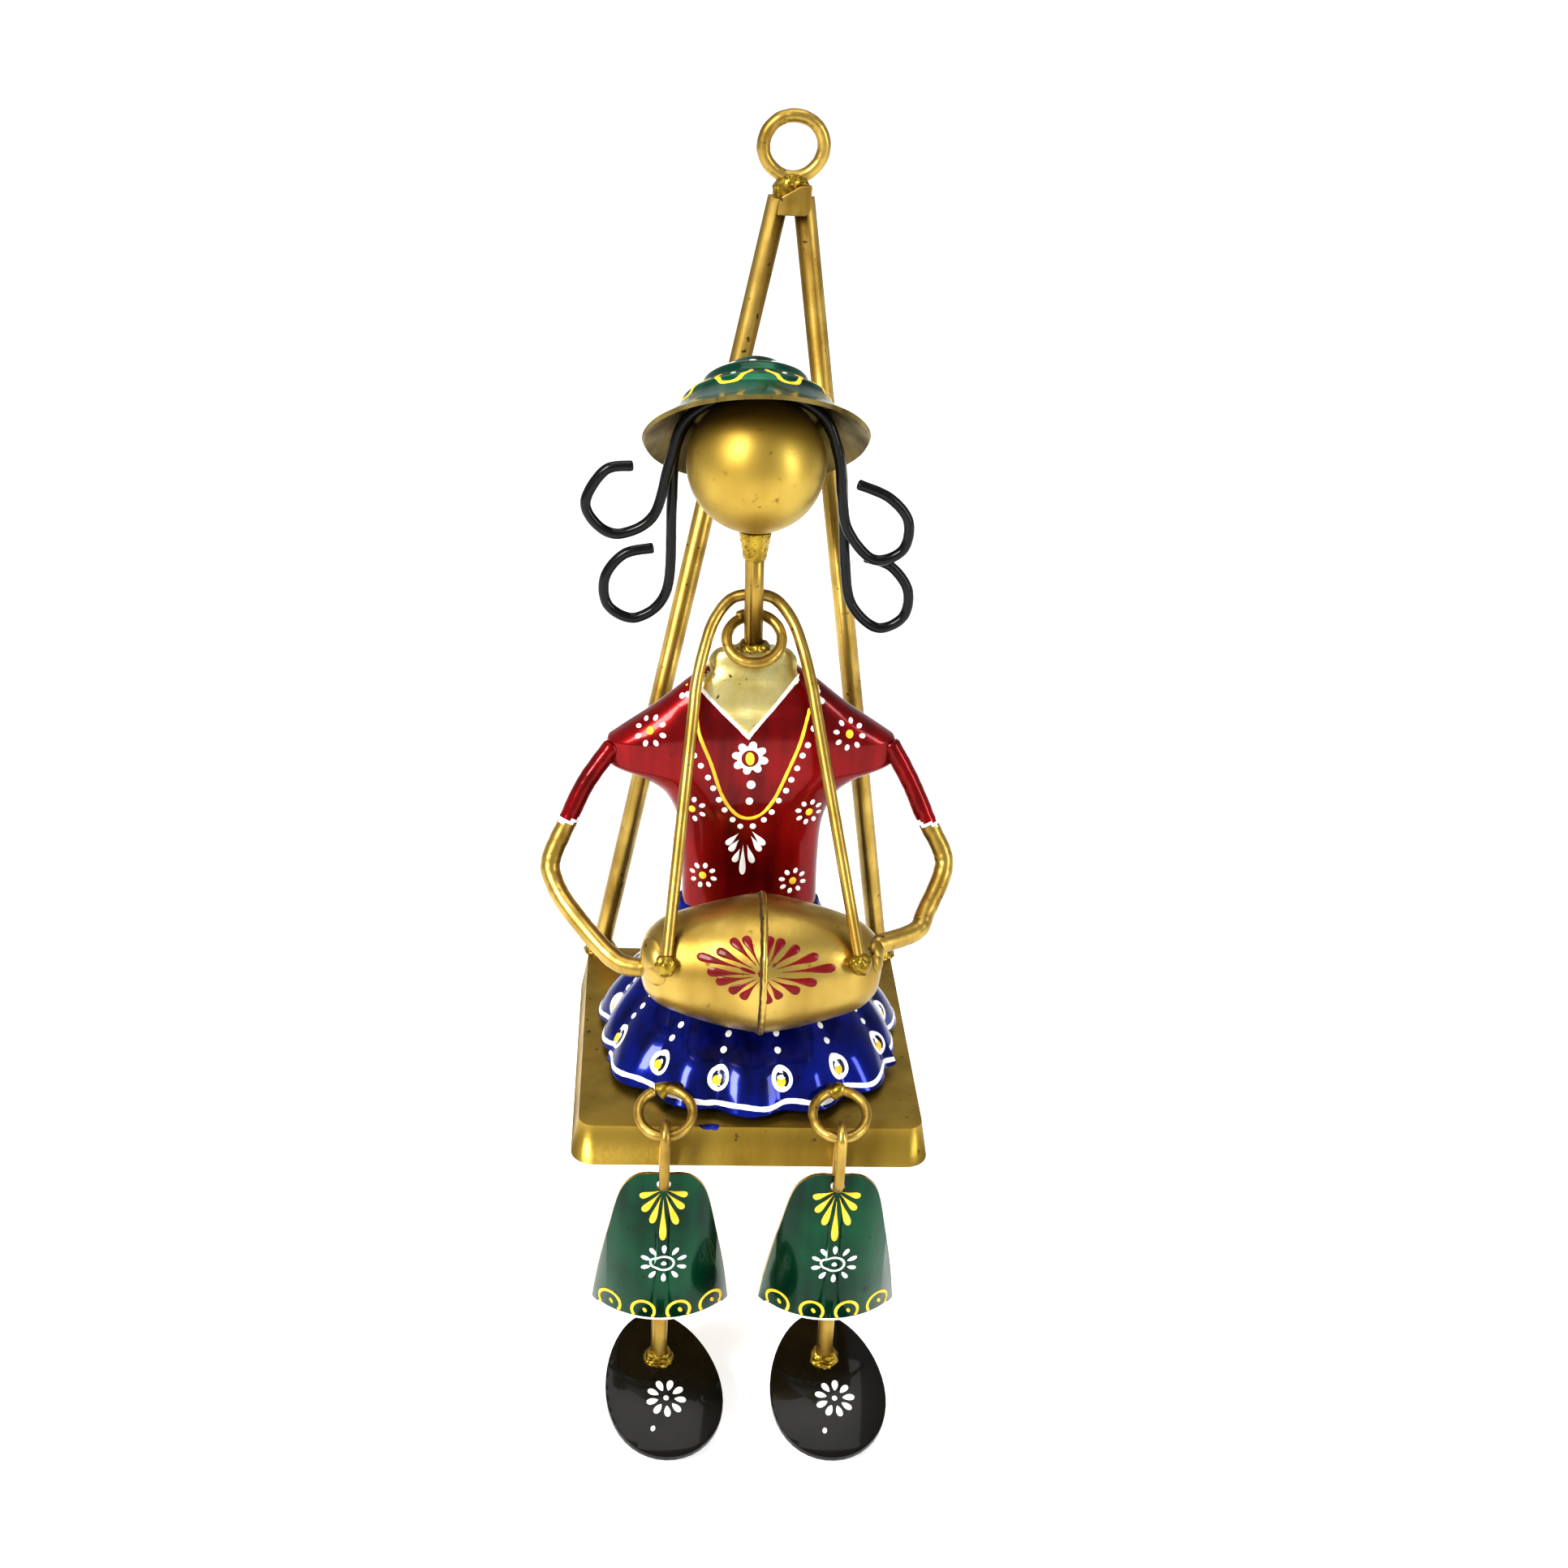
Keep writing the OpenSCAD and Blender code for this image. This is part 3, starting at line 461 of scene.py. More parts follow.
def skirt_sheet():
    sides = pleats * 18
    bm = bmesh.new()
    turn, down = bm.verts.layers.float.new("turn"), bm.verts.layers.float.new("down")
    rings = []
    for share, wide, deep in skirt_cut:
        ring = []
        for i in range(sides):
            a = 2 * pi * i / sides - pi * 1.5
            sway = 1 + 0.004 * sin(3 * a + 1) * (1 - share)
            v = bm.verts.new((hem_mid.x - 1.1 * MM * share + wide * cos(a) * sway,
                              hem_mid.y + deep * sin(a) * sway, skirt_low.z + share * skirt_rise))
            v[turn], v[down] = a, (1 - share) ** 1.2
            ring.append(v)
        rings.append(ring)
    for low, high in zip(rings, rings[1:]):
        for i in range(sides):
            j = (i + 1) % sides
            bm.faces.new((low[i], low[j], high[j], high[i]))
    return mesh_from(bm, "pleated_skirt")


skirt = piece_from("pleated_skirt", skirt_sheet(), None)
grown(skirt, pleat_tree(), Pleats=float(pleats), Depth=pleat * 1.5, Crest=radians(crest_at), Lap=lap,
      Lap_Front=lap_front, Material=blue_enamel)
sheet = skirt.modifiers.new("sheet", "SOLIDIFY")
sheet.thickness, sheet.offset = skirt_wall, -1
finished(softened(skirt, 0.25, 2), "doll", "blue_enamel", "skirt")


def shell_of(*pieces):
    """A surface to paint on, taken from finished pieces."""
    points, faces = [], []
    for piece in pieces:
        faces += [[i + len(points) for i in face.vertices] for face in piece.data.polygons]
        points += [v.co.copy() for v in piece.data.vertices]
    return BVHTree.FromPolygons(points, faces)


def spot_on(shell, start, aim, up=(0, 0, 1), tilt=0.0):
    """A place on a surface: its point, and the directions across, up and out of it."""
    hit, out, _, _ = shell.ray_cast(Vector(start), Vector(aim).normalized())
    if hit is None:
        hit, out, _, _ = shell.find_nearest(Vector(start))
    if out.dot(Vector(aim)) > 0:
        out = -out
    up = Vector(up)
    up = (up - out * up.dot(out)).normalized()
    across = up.cross(out)
    return (hit, across * cos(tilt) + up * sin(tilt), up * cos(tilt) - across * sin(tilt), out)


def on_spot(shell, spot, u, v):
    hit, across, up, out = spot
    start = hit + (across * u + up * v) * MM + out * 6 * MM
    at, normal, _, _ = shell.ray_cast(start, -out, 12 * MM)
    if at is None:
        at, normal, _, _ = shell.find_nearest(start - out * 6 * MM)
    return at, (normal if normal.dot(out) > 0 else -normal)


def dab_tree():
    """Sets a flattened drop of paint on every point; turn and size are kept on the points."""
    tree, given, out = new_tree("brush_dabs", ("Taper", "Float", 0.0), ("Belly", "Float", 1.0),
                                ("Material", "Material", None))
    nodes, link = tree.nodes, tree.links.new
    ball = nodes.new("GeometryNodeMeshUVSphere")
    ball.inputs["Segments"].default_value, ball.inputs["Rings"].default_value = 20, 8
    ball.inputs["Radius"].default_value = 1.0
    where, parts, build = (nodes.new(k) for k in (
        "GeometryNodeInputPosition", "ShaderNodeSeparateXYZ", "ShaderNodeCombineXYZ"))
    link(where.outputs["Position"], parts.inputs["Vector"])
    value = parts.outputs["Y"]
    for kind, first, second in (("MULTIPLY_ADD", -0.5, 0.5), ("POWER", given.outputs["Taper"], None),
                                ("MULTIPLY", given.outputs["Belly"], None), ("MULTIPLY_ADD", 0.88, 0.12),
                                ("MULTIPLY", parts.outputs["X"], None)):
        step = nodes.new("ShaderNodeMath")
        step.operation = kind
        step.use_clamp = first == -0.5
        link(value, step.inputs[0])
        for socket, number in zip(step.inputs[1:], (first, second)):
            if isinstance(number, float):
                socket.default_value = number
            elif number:
                link(number, socket)
        value = step.outputs["Value"]
    link(value, build.inputs["X"])
    link(parts.outputs["Y"], build.inputs["Y"])
    link(parts.outputs["Z"], build.inputs["Z"])
    drop, put = (nodes.new("GeometryNode" + k) for k in ("SetPosition", "InstanceOnPoints"))
    link(ball.outputs["Mesh"], drop.inputs["Geometry"])
    link(build.outputs["Vector"], drop.inputs["Position"])
    link(given.outputs["Geometry"], put.inputs["Points"])
    link(drop.outputs["Geometry"], put.inputs["Instance"])
    turned = nodes.new("FunctionNodeEulerToRotation")
    for name, socket in (("turn", turned.inputs["Euler"]), ("size", put.inputs["Scale"])):
        link(kept_value(tree, name, "FLOAT_VECTOR"), socket)
    link(turned.outputs["Rotation"], put.inputs["Rotation"])
    return end_tree(tree, given, out, put.outputs["Instances"])


brush_dabs = dab_tree()


def laid_on(piece, shell, relief, lift=0.03):
    """Presses paint down onto a surface, so that it stands a little proud and follows its curves."""
    for v in piece.data.vertices:
        at, out, _, _ = shell.find_nearest(v.co)
        height = (v.co - at).dot(out)
        v.co = at + out * (height * relief + lift * MM)
    return piece


def dabs(name, shell, marks, paint, body, slot, taper=0.0, relief=0.22, lift=0.03):
    """Brush dabs: each mark is a spot, then mm across and up from it, width, length and turn."""
    mesh = bpy.data.meshes.new(name)
    points, turns, sizes = [], [], []
    for n, (spot, u, v, wide, tall, turn) in enumerate(marks):
        at, out = on_spot(shell, spot, u, v)
        a = radians(turn)
        along = spot[2] * cos(a) + spot[1] * sin(a)
        along = (along - out * along.dot(out)).normalized()
        hand = 1 + 0.08 * noise.noise(Vector((n * 0.7, len(name), 0)))
        points.append(at)
        turns.append(Matrix((along.cross(out), along, out)).transposed().to_euler())
        sizes.append(Vector((wide / 2 * hand, tall / 2 * hand, wide / 2)) * MM)
    mesh.from_pydata(points, [], [])
    for label, values in (("turn", turns), ("size", sizes)):
        store = mesh.attributes.new(label, "FLOAT_VECTOR", "POINT")
        store.data.foreach_set("vector", [x for value in values for x in value])
    belly = (1 + taper) / sqrt(1 + 2 * taper) * (2 * (1 + taper) / (1 + 2 * taper)) ** taper
    piece = grown(piece_from(name, mesh, None), brush_dabs, Taper=taper, Belly=belly, Material=paint)
    return finished(laid_on(piece, shell, relief, lift), body, slot)


def lines(name, shell, routes, width, paint, body, slot, closed=False, relief=0.25):
    """Brush lines along routes of points on a surface."""
    piece = wire(name, routes, width / 2 * MM, paint, closed=closed, sides=12, uneven=0.22)
    return finished(laid_on(piece, shell, relief), body, slot)


skirt_shell = shell_of(skirt)


def skirt_spot(degrees, share):
    a = radians(degrees)
    start = Vector((hem_mid.x + cos(a) * 60 * MM, hem_mid.y + sin(a) * 60 * MM, skirt_low.z + share * skirt_rise))
    return spot_on(skirt_shell, start, (-cos(a), -sin(a), 0))


drop_spots = [skirt_spot(first_valley + pleat_step * k, 0.17) for k in range(pleats)]
dabs("skirt_drop_white", skirt_shell, [(s, 0, 0.2, 4.8, 6.0, 0) for s in drop_spots], white_paint, "doll",
     "blue_enamel", taper=0.12, relief=0.06)
dabs("skirt_drop_dark", skirt_shell, [(s, 0.1, 0.0, 3.1, 3.8, 0) for s in drop_spots],
     enamel("skirt_drop_navy", (0.004, 0.006, 0.03), (0.006, 0.01, 0.06)), "doll", "blue_enamel",
     relief=0.06, lift=0.13)
dabs("skirt_drop_eye", skirt_shell, [(s, -0.25, -0.5, 2.1, 2.3, 0) for s in drop_spots], yellow_paint, "doll",
     "blue_enamel", relief=0.14, lift=0.2)
skirt_dots = [(skirt_spot(first_valley + pleat_step * k + 0.8 * (n % 2), 0.305 + 0.068 * n), 0, 0,
               1.45 - 0.06 * n, 1.65, 0) for k in range(pleats) for n in range(4)]
dabs("skirt_dots", skirt_shell, skirt_dots, white_paint, "doll", "blue_enamel")
hem_line = []
for i in range(420):
    a = 360 * i / 420 - 270
    wander = 0.045 + 0.012 * sin(radians(a) * 18) + 0.006 * noise.noise(Vector((a * 0.13, 0, 0)))
    hem_line.append(skirt_spot(a, wander)[0])
lines("skirt_hem_line", skirt_shell, [hem_line], 1.15, white_paint, "doll", "blue_enamel", closed=True, relief=0.2)
tray_shell = shell_of(tray)
seat_front = Vector((centre_of("seat_tray").x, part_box("seat_tray")[0].y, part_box("seat_tray")[1].z))
drip = spot_on(tray_shell, seat_front + Vector((-9.2, 1.9, 5)) * MM, (0, 0, -1), up=(0, 1, 0))
drip_marks = [(drip, 0, 0, 1.5, 3.4, 80), (drip, 1.4, -0.2, 1.6, 1.9, 60), (drip, -1.6, 0.1, 0.8, 1.1, 90)]
dabs("blue_drip", tray_shell, drip_marks, blue_enamel, "doll", "blue_enamel", relief=0.35)
# the side panels are set in by the lap, so the tacks are moved inwards to stay behind them
tack_shift = 4.6
tacks = lumpy("skirt_tack_metal", weld_coat, 5, 0.3, "skirt_tacks")
for v in tacks.data.vertices:
    inward = Vector((hem_mid.x - v.co.x, hem_mid.y - v.co.y, 0))
    v.co += inward.normalized() * tack_shift * MM
finished(tacks, "doll", "gold_paint", "skirt_tacks")


# ---- Torso: two pressed halves of sheet, welded edge to edge and lacquered deep red. ----
# The neck is left gold in a V. The blouse is painted by hand with a necklace, a row of pearls,
# a spray of drops, and small flowers of dots on the sleeves and sides.

red_enamel = enamel("red_enamel", (0.075, 0.0004, 0.0008), (0.23, 0.002, 0.003), rough=0.26, metallic=0.5)
dark_red = coat("dark_red_enamel", (0.1, 0.001, 0.002), (0.17, 0.002, 0.003), 0.35, 0.0, gloss=0.25, bump=0.2,
                sizes=(300.0, 500.0, 900.0, 900.0), speck=(0.1, 0.002, 0.002))
body_low, body_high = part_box("torso_front")[0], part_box("torso_back")[1]
lean = radians(1.5)
# the figure's upright frame, in mm: its middle line at the waist, and the height of its torso
waist_x, figure_y, torso_h = -4.1, -35.5, 59.5
waist = Vector((waist_x * MM, 0, body_low.z))
wide_at = curve_through([Vector((s, w, 0)) for s, w in (
    (0, 14.8), (0.18, 14.9), (0.34, 15.7), (0.45, 18.6), (0.51, 23.3), (0.55, 29.2), (0.58, 30.8), (0.65, 30.8),
    (0.68, 29.0), (0.78, 20.6), (0.88, 13.6), (0.9, 11.6), (0.93, 9.7), (0.96, 9.2), (0.99, 7.8), (1, 5.6))], 5)
deep_at = ((0, 6.2), (0.25, 6.6), (0.5, 7.2), (0.68, 7.2), (0.8, 5.8), (0.9, 4.2), (0.96, 2.8), (1, 2.2))


def leaned(x, y, z):
    """From the figure's upright frame, in mm from its middle line, to where it leans."""
    turned = Vector((x * cos(lean) - z * sin(lean), 0, x * sin(lean) + z * cos(lean)))
    return waist + turned * MM + Vector((0, y * MM, 0))


def depth_at(share):
    for (s0, d0), (s1, d1) in zip(deep_at, deep_at[1:]):
        if share <= s1:
            t = (share - s0) / (s1 - s0)
            t = t * t * (3 - 2 * t) * 0.5 + t * 0.5
            return d0 + (d1 - d0) * t
    return deep_at[-1][1]


def pillow(share, wide, sides=112, power=2.6):
    ring = []
    for i in range(sides):
        a = 2 * pi * (i + 0.5) / sides
        soft = [abs(c) ** (2 / power) * (1 if c > 0 else -1) for c in (cos(a), sin(a))]
        dent = 1 + 0.012 * noise.noise(Vector((share * 6, a * 1.5, 2)))
        ring.append(leaned(wide * soft[0], figure_y + depth_at(share) * soft[1] * dent, share * torso_h))
    return ring


def lofted(name, rings, material):
    bm = bmesh.new()
    rows = [[bm.verts.new(p) for p in ring] for ring in rings]
    for low, high in zip(rows, rows[1:]):
        for i in range(len(low)):
            j = (i + 1) % len(low)
            bm.faces.new((low[i], low[j], high[j], high[i]))
    bm.faces.new(list(reversed(rows[0])))
    bm.faces.new(rows[-1])
    mesh = mesh_from(bm, name)
    return piece_from(name, mesh, material)


torso = lofted("pressed_torso", [pillow(p[0], p[1]) for p in wide_at], red_enamel)
softened(torso, 0.5, 2, 50)
torso_shell = shell_of(torso)
chest_mid = (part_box("torso_front")[0].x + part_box("torso_front")[1].x) / 2
chest = spot_on(torso_shell, (chest_mid, body_low.y - 30 * MM, body_low.z + 40 * MM), (0, 1, 0))
# marks on the chest are measured in mm from the middle of the torso and down from its top
drop_to_top = (body_high.z - chest[0].z) / MM


def chest_at(u, v):
    at, out = on_spot(torso_shell, chest, u, v + drop_to_top)
    return at


def chest_spot(u, v):
    return spot_on(torso_shell, chest_at(u, v) - Vector((0, 10 * MM, 0)), (0, 1, 0))


def painted_area(name, shell, spot, outline, paint, body, slot, rise=0.05):
    """A patch of thin paint inside an outline, laid on a surface with its edge sunk into it."""
    flat = [Vector(p) for p in outline]
    low = Vector((min(p.x for p in flat), min(p.y for p in flat)))
    high = Vector((max(p.x for p in flat), max(p.y for p in flat)))
    rim = []
    for a, b in zip(flat, flat[1:] + flat[:1]):
        steps = max(1, int((b - a).length / 0.4))
        rim += [a + (b - a) * i / steps for i in range(steps)]
    gap = 0.6
    inside = [Vector((low.x + i * gap, low.y + j * gap)) for i in range(int((high.x - low.x) / gap) + 1)
              for j in range(int((high.y - low.y) / gap) + 1)]
    ring = list(range(len(rim)))
    points, _, faces, origin, _, _ = delaunay_2d_cdt(rim + inside, list(zip(ring, ring[1:] + ring[:1])), [ring],
                                                     1, 1e-5)
    on_rim = {i for i, source in enumerate(origin) if any(k < len(rim) for k in source)}
    bm = bmesh.new()
    made = []
    for i, p in enumerate(points):
        at, out = on_spot(shell, spot, p.x, p.y)
        made.append(bm.verts.new(at + out * (rise if i not in on_rim else 0.01) * MM))
    for face in faces:
        bm.faces.new([made[i] for i in face])
    bmesh.ops.delete(bm, geom=[v for v in bm.verts if not v.link_faces], context="VERTS")
    bmesh.ops.recalc_face_normals(bm, faces=bm.faces)
    if sum((f.normal.dot(spot[3]) for f in bm.faces)) < 0:
        bmesh.ops.reverse_faces(bm, faces=bm.faces)
    mesh = mesh_from(bm, name)
    piece = piece_from(name, mesh, paint)
    skin = piece.modifiers.new("skin", "SOLIDIFY")
    skin.thickness, skin.offset = 0.12 * MM, -1
    return finished(baked(piece), body, slot)


top = drop_to_top
neck_gold = coat("neck_gold_coat", (0.5, 0.4, 0.13), (0.8, 0.69, 0.3), 0.3, 0.93, bump=0.9,
                 sizes=(160.0, 300.0, 900.0, 420.0))
torso.data.materials.append(neck_gold)
for face in torso.data.polygons:
    u, v = (face.center.x - chest_mid) / MM, (face.center.z - body_high.z) / MM
    if v > -4.2 and -11.4 < u < 8.8 or v > -0.4:
        face.material_index = 1
finished(torso, "doll", "red_enamel", "torso_front", "torso_back")
painted_area("gold_neck", torso_shell, chest, [(u, v + top) for u, v in (
    (-7.4, -1.2), (4.6, -0.9), (8.2, -2.9), (9.3, -6.0), (-1.1, -17.0), (-11.9, -8.4), (-10.8, -4.4))],
             neck_gold, "doll", "gold_paint")


def chest_line(points, steps=8):
    return [chest_at(p.x, p.y) for p in curve_through([Vector(p) for p in points], steps)]


def chest_straight(one, two, steps=24):
    return [chest_at(one[0] + (two[0] - one[0]) * t / steps, one[1] + (two[1] - one[1]) * t / steps)
            for t in range(steps + 1)]


lines("blouse_edge_line", torso_shell,
      [chest_straight((9.5, -4.6), (-1.1, -17.6)), chest_straight((-12.0, -7.6), (-0.9, -17.9))],
      0.8, white_paint, "doll", "red_enamel")
lines("necklace_line", torso_shell, [chest_line((
    (-12.1, -13.4), (-11.4, -17.5), (-8.7, -24.1), (-6.2, -31.3), (-3.3, -35.5), (-0.4, -36.7), (2.5, -35.5),
    (5, -31.9), (7.4, -25.8), (9.9, -18.6), (11.6, -11.7)))], 0.75, yellow_paint, "doll", "red_enamel")
lines("shoulder_lines", torso_shell,
      [chest_line(((-14.9, -4.9), (-14.3, -8.2)), 6), chest_line(((13.6, -5.0), (13.3, -8.0)), 6)],
      0.6, yellow_paint, "doll", "red_enamel")


def round_marks(spot, radius, count, wide, tall, phase, squash=1.0):
    """Marks set round a ring, each one pointing outwards."""
    marks = []
    for i in range(count):
        a = phase + 360 * i / count
        marks.append((spot, radius * sin(radians(a)), radius * squash * cos(radians(a)), wide, tall, a + 180))
    return marks


def drops(spot, pairs, wide, v0=0.0):
    """Teardrops, each from its fat end to its tip."""
    marks = []
    for fat, tip in pairs:
        x, y = tip[0] - fat[0], tip[1] - fat[1]
        marks.append((spot, (fat[0] + tip[0]) / 2, (fat[1] + tip[1]) / 2 + v0, wide,
                      sqrt(x ** 2 + y ** 2) + wide * 0.3, atan2(x, y) * 180 / pi))
    return marks


pendant = chest_spot(-0.6, -22.4)
dabs("pendant_petals", torso_shell,
     round_marks(pendant, 2.85, 8, 1.75, 2.1, 10) + [(pendant, 0, 0, 5.4, 5.6, 0)],
     white_paint, "doll", "red_enamel", relief=0.09)
dabs("pendant_middle", torso_shell, [(pendant, 0, 0, 3.7, 3.9, 0)], dark_red, "doll", "red_enamel", relief=0.06,
     lift=0.24)
dabs("pendant_eye", torso_shell, [(pendant, 0, 0, 1.9, 3.1, -6)], yellow_paint, "doll", "red_enamel",
     relief=0.15, lift=0.36)
pearls = [(-13.0, -19.6), (-12.4, -22.2), (-10.9, -24.5), (-9.3, -27.2), (-8.1, -29.7), (-6.8, -32.4), (-5.5, -34.8),
          (-3.7, -37.1), (-2.0, -38.7), (12.6, -15.7), (11.5, -19.2), (10.5, -21.6), (9.5, -24.6), (8.4, -27.3),
          (7.4, -29.9), (5.95, -32.3), (4.6, -35.1), (3.0, -37), (0.7, -38.6), (-16.0, -7.2), (-15.2, -10.2),
          (15.6, -5.0), (14.8, -8.1), (14.2, -10.3)]
dabs("blouse_pearls", torso_shell, [(chest, u, v + top, 1.3, 1.35, 0) for u, v in pearls]
     + [(chest, -0.1, -28.6 + top, 1.9, 2.0, 0), (chest, -0.3, -32.5 + top, 1.6, 1.8, 0)], white_paint, "doll",
     "red_enamel")
dabs("blouse_spray", torso_shell, drops(chest, (
    ((-4.7, -43.2), (-2.4, -40.6)), ((-3.9, -44.7), (-2.3, -42.2)), ((-3.0, -47.4), (-1.9, -44.4)),
    ((-1.1, -50.4), (-1.2, -43.4)), ((1.0, -47.5), (-0.3, -43.4)), ((2.5, -44.6), (0.5, -41.2)),
    ((3.3, -43.1), (0.7, -40.0))), 1.45, top),
     white_paint, "doll", "red_enamel", taper=1.3)
flower_spots = [(chest_spot(u, v), r, n) for u, v, r, n in (
    (-21.7, -17.6, 2.9, 8), (20.3, -17.1, 2.9, 8), (-12.4, -35.3, 2.5, 7), (12.7, -35.5, 2.5, 8), (-9.6, -51.5, 2.5, 8),
    (10.0, -52.3, 2.5, 8))]
dabs("blouse_flower_petals", torso_shell,
     [m for s, r, n in flower_spots for m in round_marks(s, r, n, 1.05, 1.4, 12)], white_paint, "doll", "red_enamel")
dabs("blouse_flower_eyes", torso_shell, [(s, 0, 0, 1.65, 1.8, 0) for s, _, _ in flower_spots], yellow_paint, "doll",
     "red_enamel", lift=0.1)
red_weld = coat("red_over_weld", (0.1, 0.004, 0.003), (0.24, 0.02, 0.01), 0.3, 0.4, 0.6)
finished(lumpy("drum_stud_metal", red_weld, 2, 0.2, "drum_stud"), "doll", "gold_paint", "drum_stud")


# ---- Head: a hollow steel ball on a neck rod that runs into a hole in its underside. ----
# A flare of weld holds the ball, a low rough dome of weld holds the rod on the shoulders,
# and everything is sprayed gold, with no face.

def spun(name, profile, material, place, sides=128, wobble=0.0):
    """A shell turned round an axis from the closed outline of its wall, as (radius, height) in mm."""
    bm = bmesh.new()
    rows = []
    for i in range(sides):
        a = 2 * pi * i / sides
        row = []
        for r, h in profile:
            p = Vector((r * cos(a), r * sin(a), h))
            p *= 1 + wobble * noise.noise(p * 0.16 + Vector((5, 1, 3)))
            row.append(bm.verts.new(place @ (p * MM)))
        rows.append(row)
    for one, two in zip(rows, rows[1:] + rows[:1]):
        for k in range(len(profile)):
            n = (k + 1) % len(profile)
            bm.faces.new((one[k], two[k], two[n], one[n]))
    bmesh.ops.remove_doubles(bm, verts=bm.verts, dist=0.001 * MM)
    bmesh.ops.dissolve_degenerate(bm, edges=bm.edges, dist=1e-7)
    bmesh.ops.recalc_face_normals(bm, faces=bm.faces)
    mesh = mesh_from(bm, name)
    return piece_from(name, mesh, material)


ball_mid = centre_of("head_ball")
ball_r = (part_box("head_ball")[1].z - ball_mid.z) / MM
hole, ball_wall = 2.05, 1.2
inner_r = ball_r - ball_wall
outer_hole, inner_hole = hole / ball_r, hole / 13
outer = [(ball_r * sin(a), -ball_r * cos(a)) for a in (outer_hole + (pi - outer_hole) * i / 56 for i in range(57))]
inner = [(inner_r * sin(a), -inner_r * cos(a))
         for a in (inner_hole + (pi - inner_hole) * i / 40 for i in range(40, -1, -1))]
ball_coat = coat("ball_gold_coat", (0.29, 0.185, 0.03), (0.45, 0.315, 0.065), 0.44, 0.95, bump=0.12,
                 sizes=(60.0, 110.0, 500.0, 2200.0), speck=(0.24, 0.15, 0.03))
ball_place = Matrix.Translation(ball_mid) @ Matrix.Rotation(-lean, 4, "Y")
finished(spun("head_shell", outer + inner, ball_coat, ball_place, wobble=0.004), "doll", "gold_paint", "head_ball")
finished(merged_copy("neck_bar", gold_coat, "neck_rod"), "doll", "gold_paint", "neck_rod")
finished(lumpy("neck_weld_metal", weld_coat, 11, 0.3, "neck_welds"), "doll", "gold_paint", "neck_welds")


# ---- Collar: a loose ring of round wire hung over the neck, with its cut ends left crossing. ----
# It rests on the chest in front and behind the neck rod at the back.

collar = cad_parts["collar_ring"]
collar_mid = sum((v.co for v in collar.data.vertices), Vector()) / len(collar.data.vertices)
collar_axis = Vector((0, -cos(radians(50)), sin(radians(50))))
collar_axis = Vector((-sin(lean) * collar_axis.z, collar_axis.y, cos(lean) * collar_axis.z))
side_way = Vector((cos(lean), 0, sin(lean)))
fore_way = collar_axis.cross(side_way)
collar_turn = []
for i in range(100):
    a = radians(-248 + 3.72 * i)
    out = 5.8 + 0.35 * (i / 99 - 0.5)
    lift = 0.75 * (i / 99 - 0.5) * abs(i / 49.5 - 1) ** 3
    collar_turn.append(collar_mid + (side_way * cos(a) * out + fore_way * sin(a) * out + collar_axis * lift) * MM)
finished(wire("collar_wire", [collar_turn], 1.17 * MM, gold_coat, uneven=0.06), "collar", "gold_paint", "collar_ring")


# ---- Hat: a round brimmed hat pressed from sheet in steps, over a stud of weld on the ball. ----
# Outside it is green enamel with yellow scallops and white dots; inside it is a dull gold coat, darkened as painted
# shade under the brim.

green_enamel = enamel("green_enamel", (0.001, 0.022, 0.012), (0.003, 0.1, 0.048), rough=0.24, metallic=0.5)
# the inside is the gold coat made much darker: painted shade under the brim
hat_inside_coat = coat("hat_inside_coat", (0.07, 0.05, 0.012), (0.2, 0.15, 0.045), 0.5, 0.85)
hat_turn = (Matrix.Translation(leaned(0, -34.0, 103.9)) @ Matrix.Rotation(-lean, 4, "Y")
            @ Matrix.Rotation(radians(-38), 4, "X"))
hat_cut = [Vector(p) for p in (
    (23, 0), (20.4, 1.7), (18.2, 3.4), (15.9, 5.8), (15.35, 6.9), (15, 7.8), (13.1, 9.1), (11.4, 10.2),
    (10.95, 11.3), (10.4, 12.4), (8.2, 13.5), (6.2, 14.4), (5.5, 15.2), (4.6, 16), (2.3, 16.6), (0, 16.8))]
hat_line = curve_through(hat_cut, 3)
hat_outside = [(p.x, p.y) for p in hat_line]
hat_inside = [(max(p.x - 0.5, 0), p.y - 0.8) for p in hat_line]
hat = spun("pressed_hat", hat_outside + hat_inside[::-1], green_enamel, hat_turn, 144, wobble=0.006)
hat.data.materials.append(hat_inside_coat)
hat_axis = (hat_turn.to_3x3() @ Vector((0, 0, 1))).normalized()
hat_shell = shell_of(hat)
# faces that turn down or inward take the darkened gold of painted shade
for face in hat.data.polygons:
    if face.normal.dot(hat_axis) < 0.12:
        face.material_index = 1
finished(hat, "doll", "green_enamel", "hat")
finished(merged_copy("hat_stud_metal", weld_coat, "hat_stud"), "doll", "gold_paint", "hat_stud")


def hat_spot(degrees, radius):
    a = radians(degrees)
    return spot_on(hat_shell, hat_turn @ (Vector((radius * cos(a), radius * sin(a), 40)) * MM), -hat_axis)


scallops = []
for k in range(8):
    scallops.append([hat_spot(-112 + 45 * k + 15.5 * sin(t), 12.2 + 3.6 * cos(t) ** 0.8)[0]
                     for t in (pi * (i / 24 - 0.5) for i in range(25))])
lines("hat_scallops", hat_shell, scallops, 0.95, yellow_paint, "doll", "green_enamel")
dabs("hat_dots", hat_shell, [(hat_spot(-96 + 30 * k, 8.6), 0, 0, 1.6, 1.6, 0) for k in range(12)]
     + [(hat_spot(-112 + 45 * k, 13.2), 0, 0, 1.1, 1.1, 0) for k in range(8)], white_paint, "doll", "green_enamel")


# ---- Hair: two black wires bent over the ball under the hat, with curls at their four ends. ----
# The wires are thick iron wire with round cut ends, dipped in gloss black enamel.

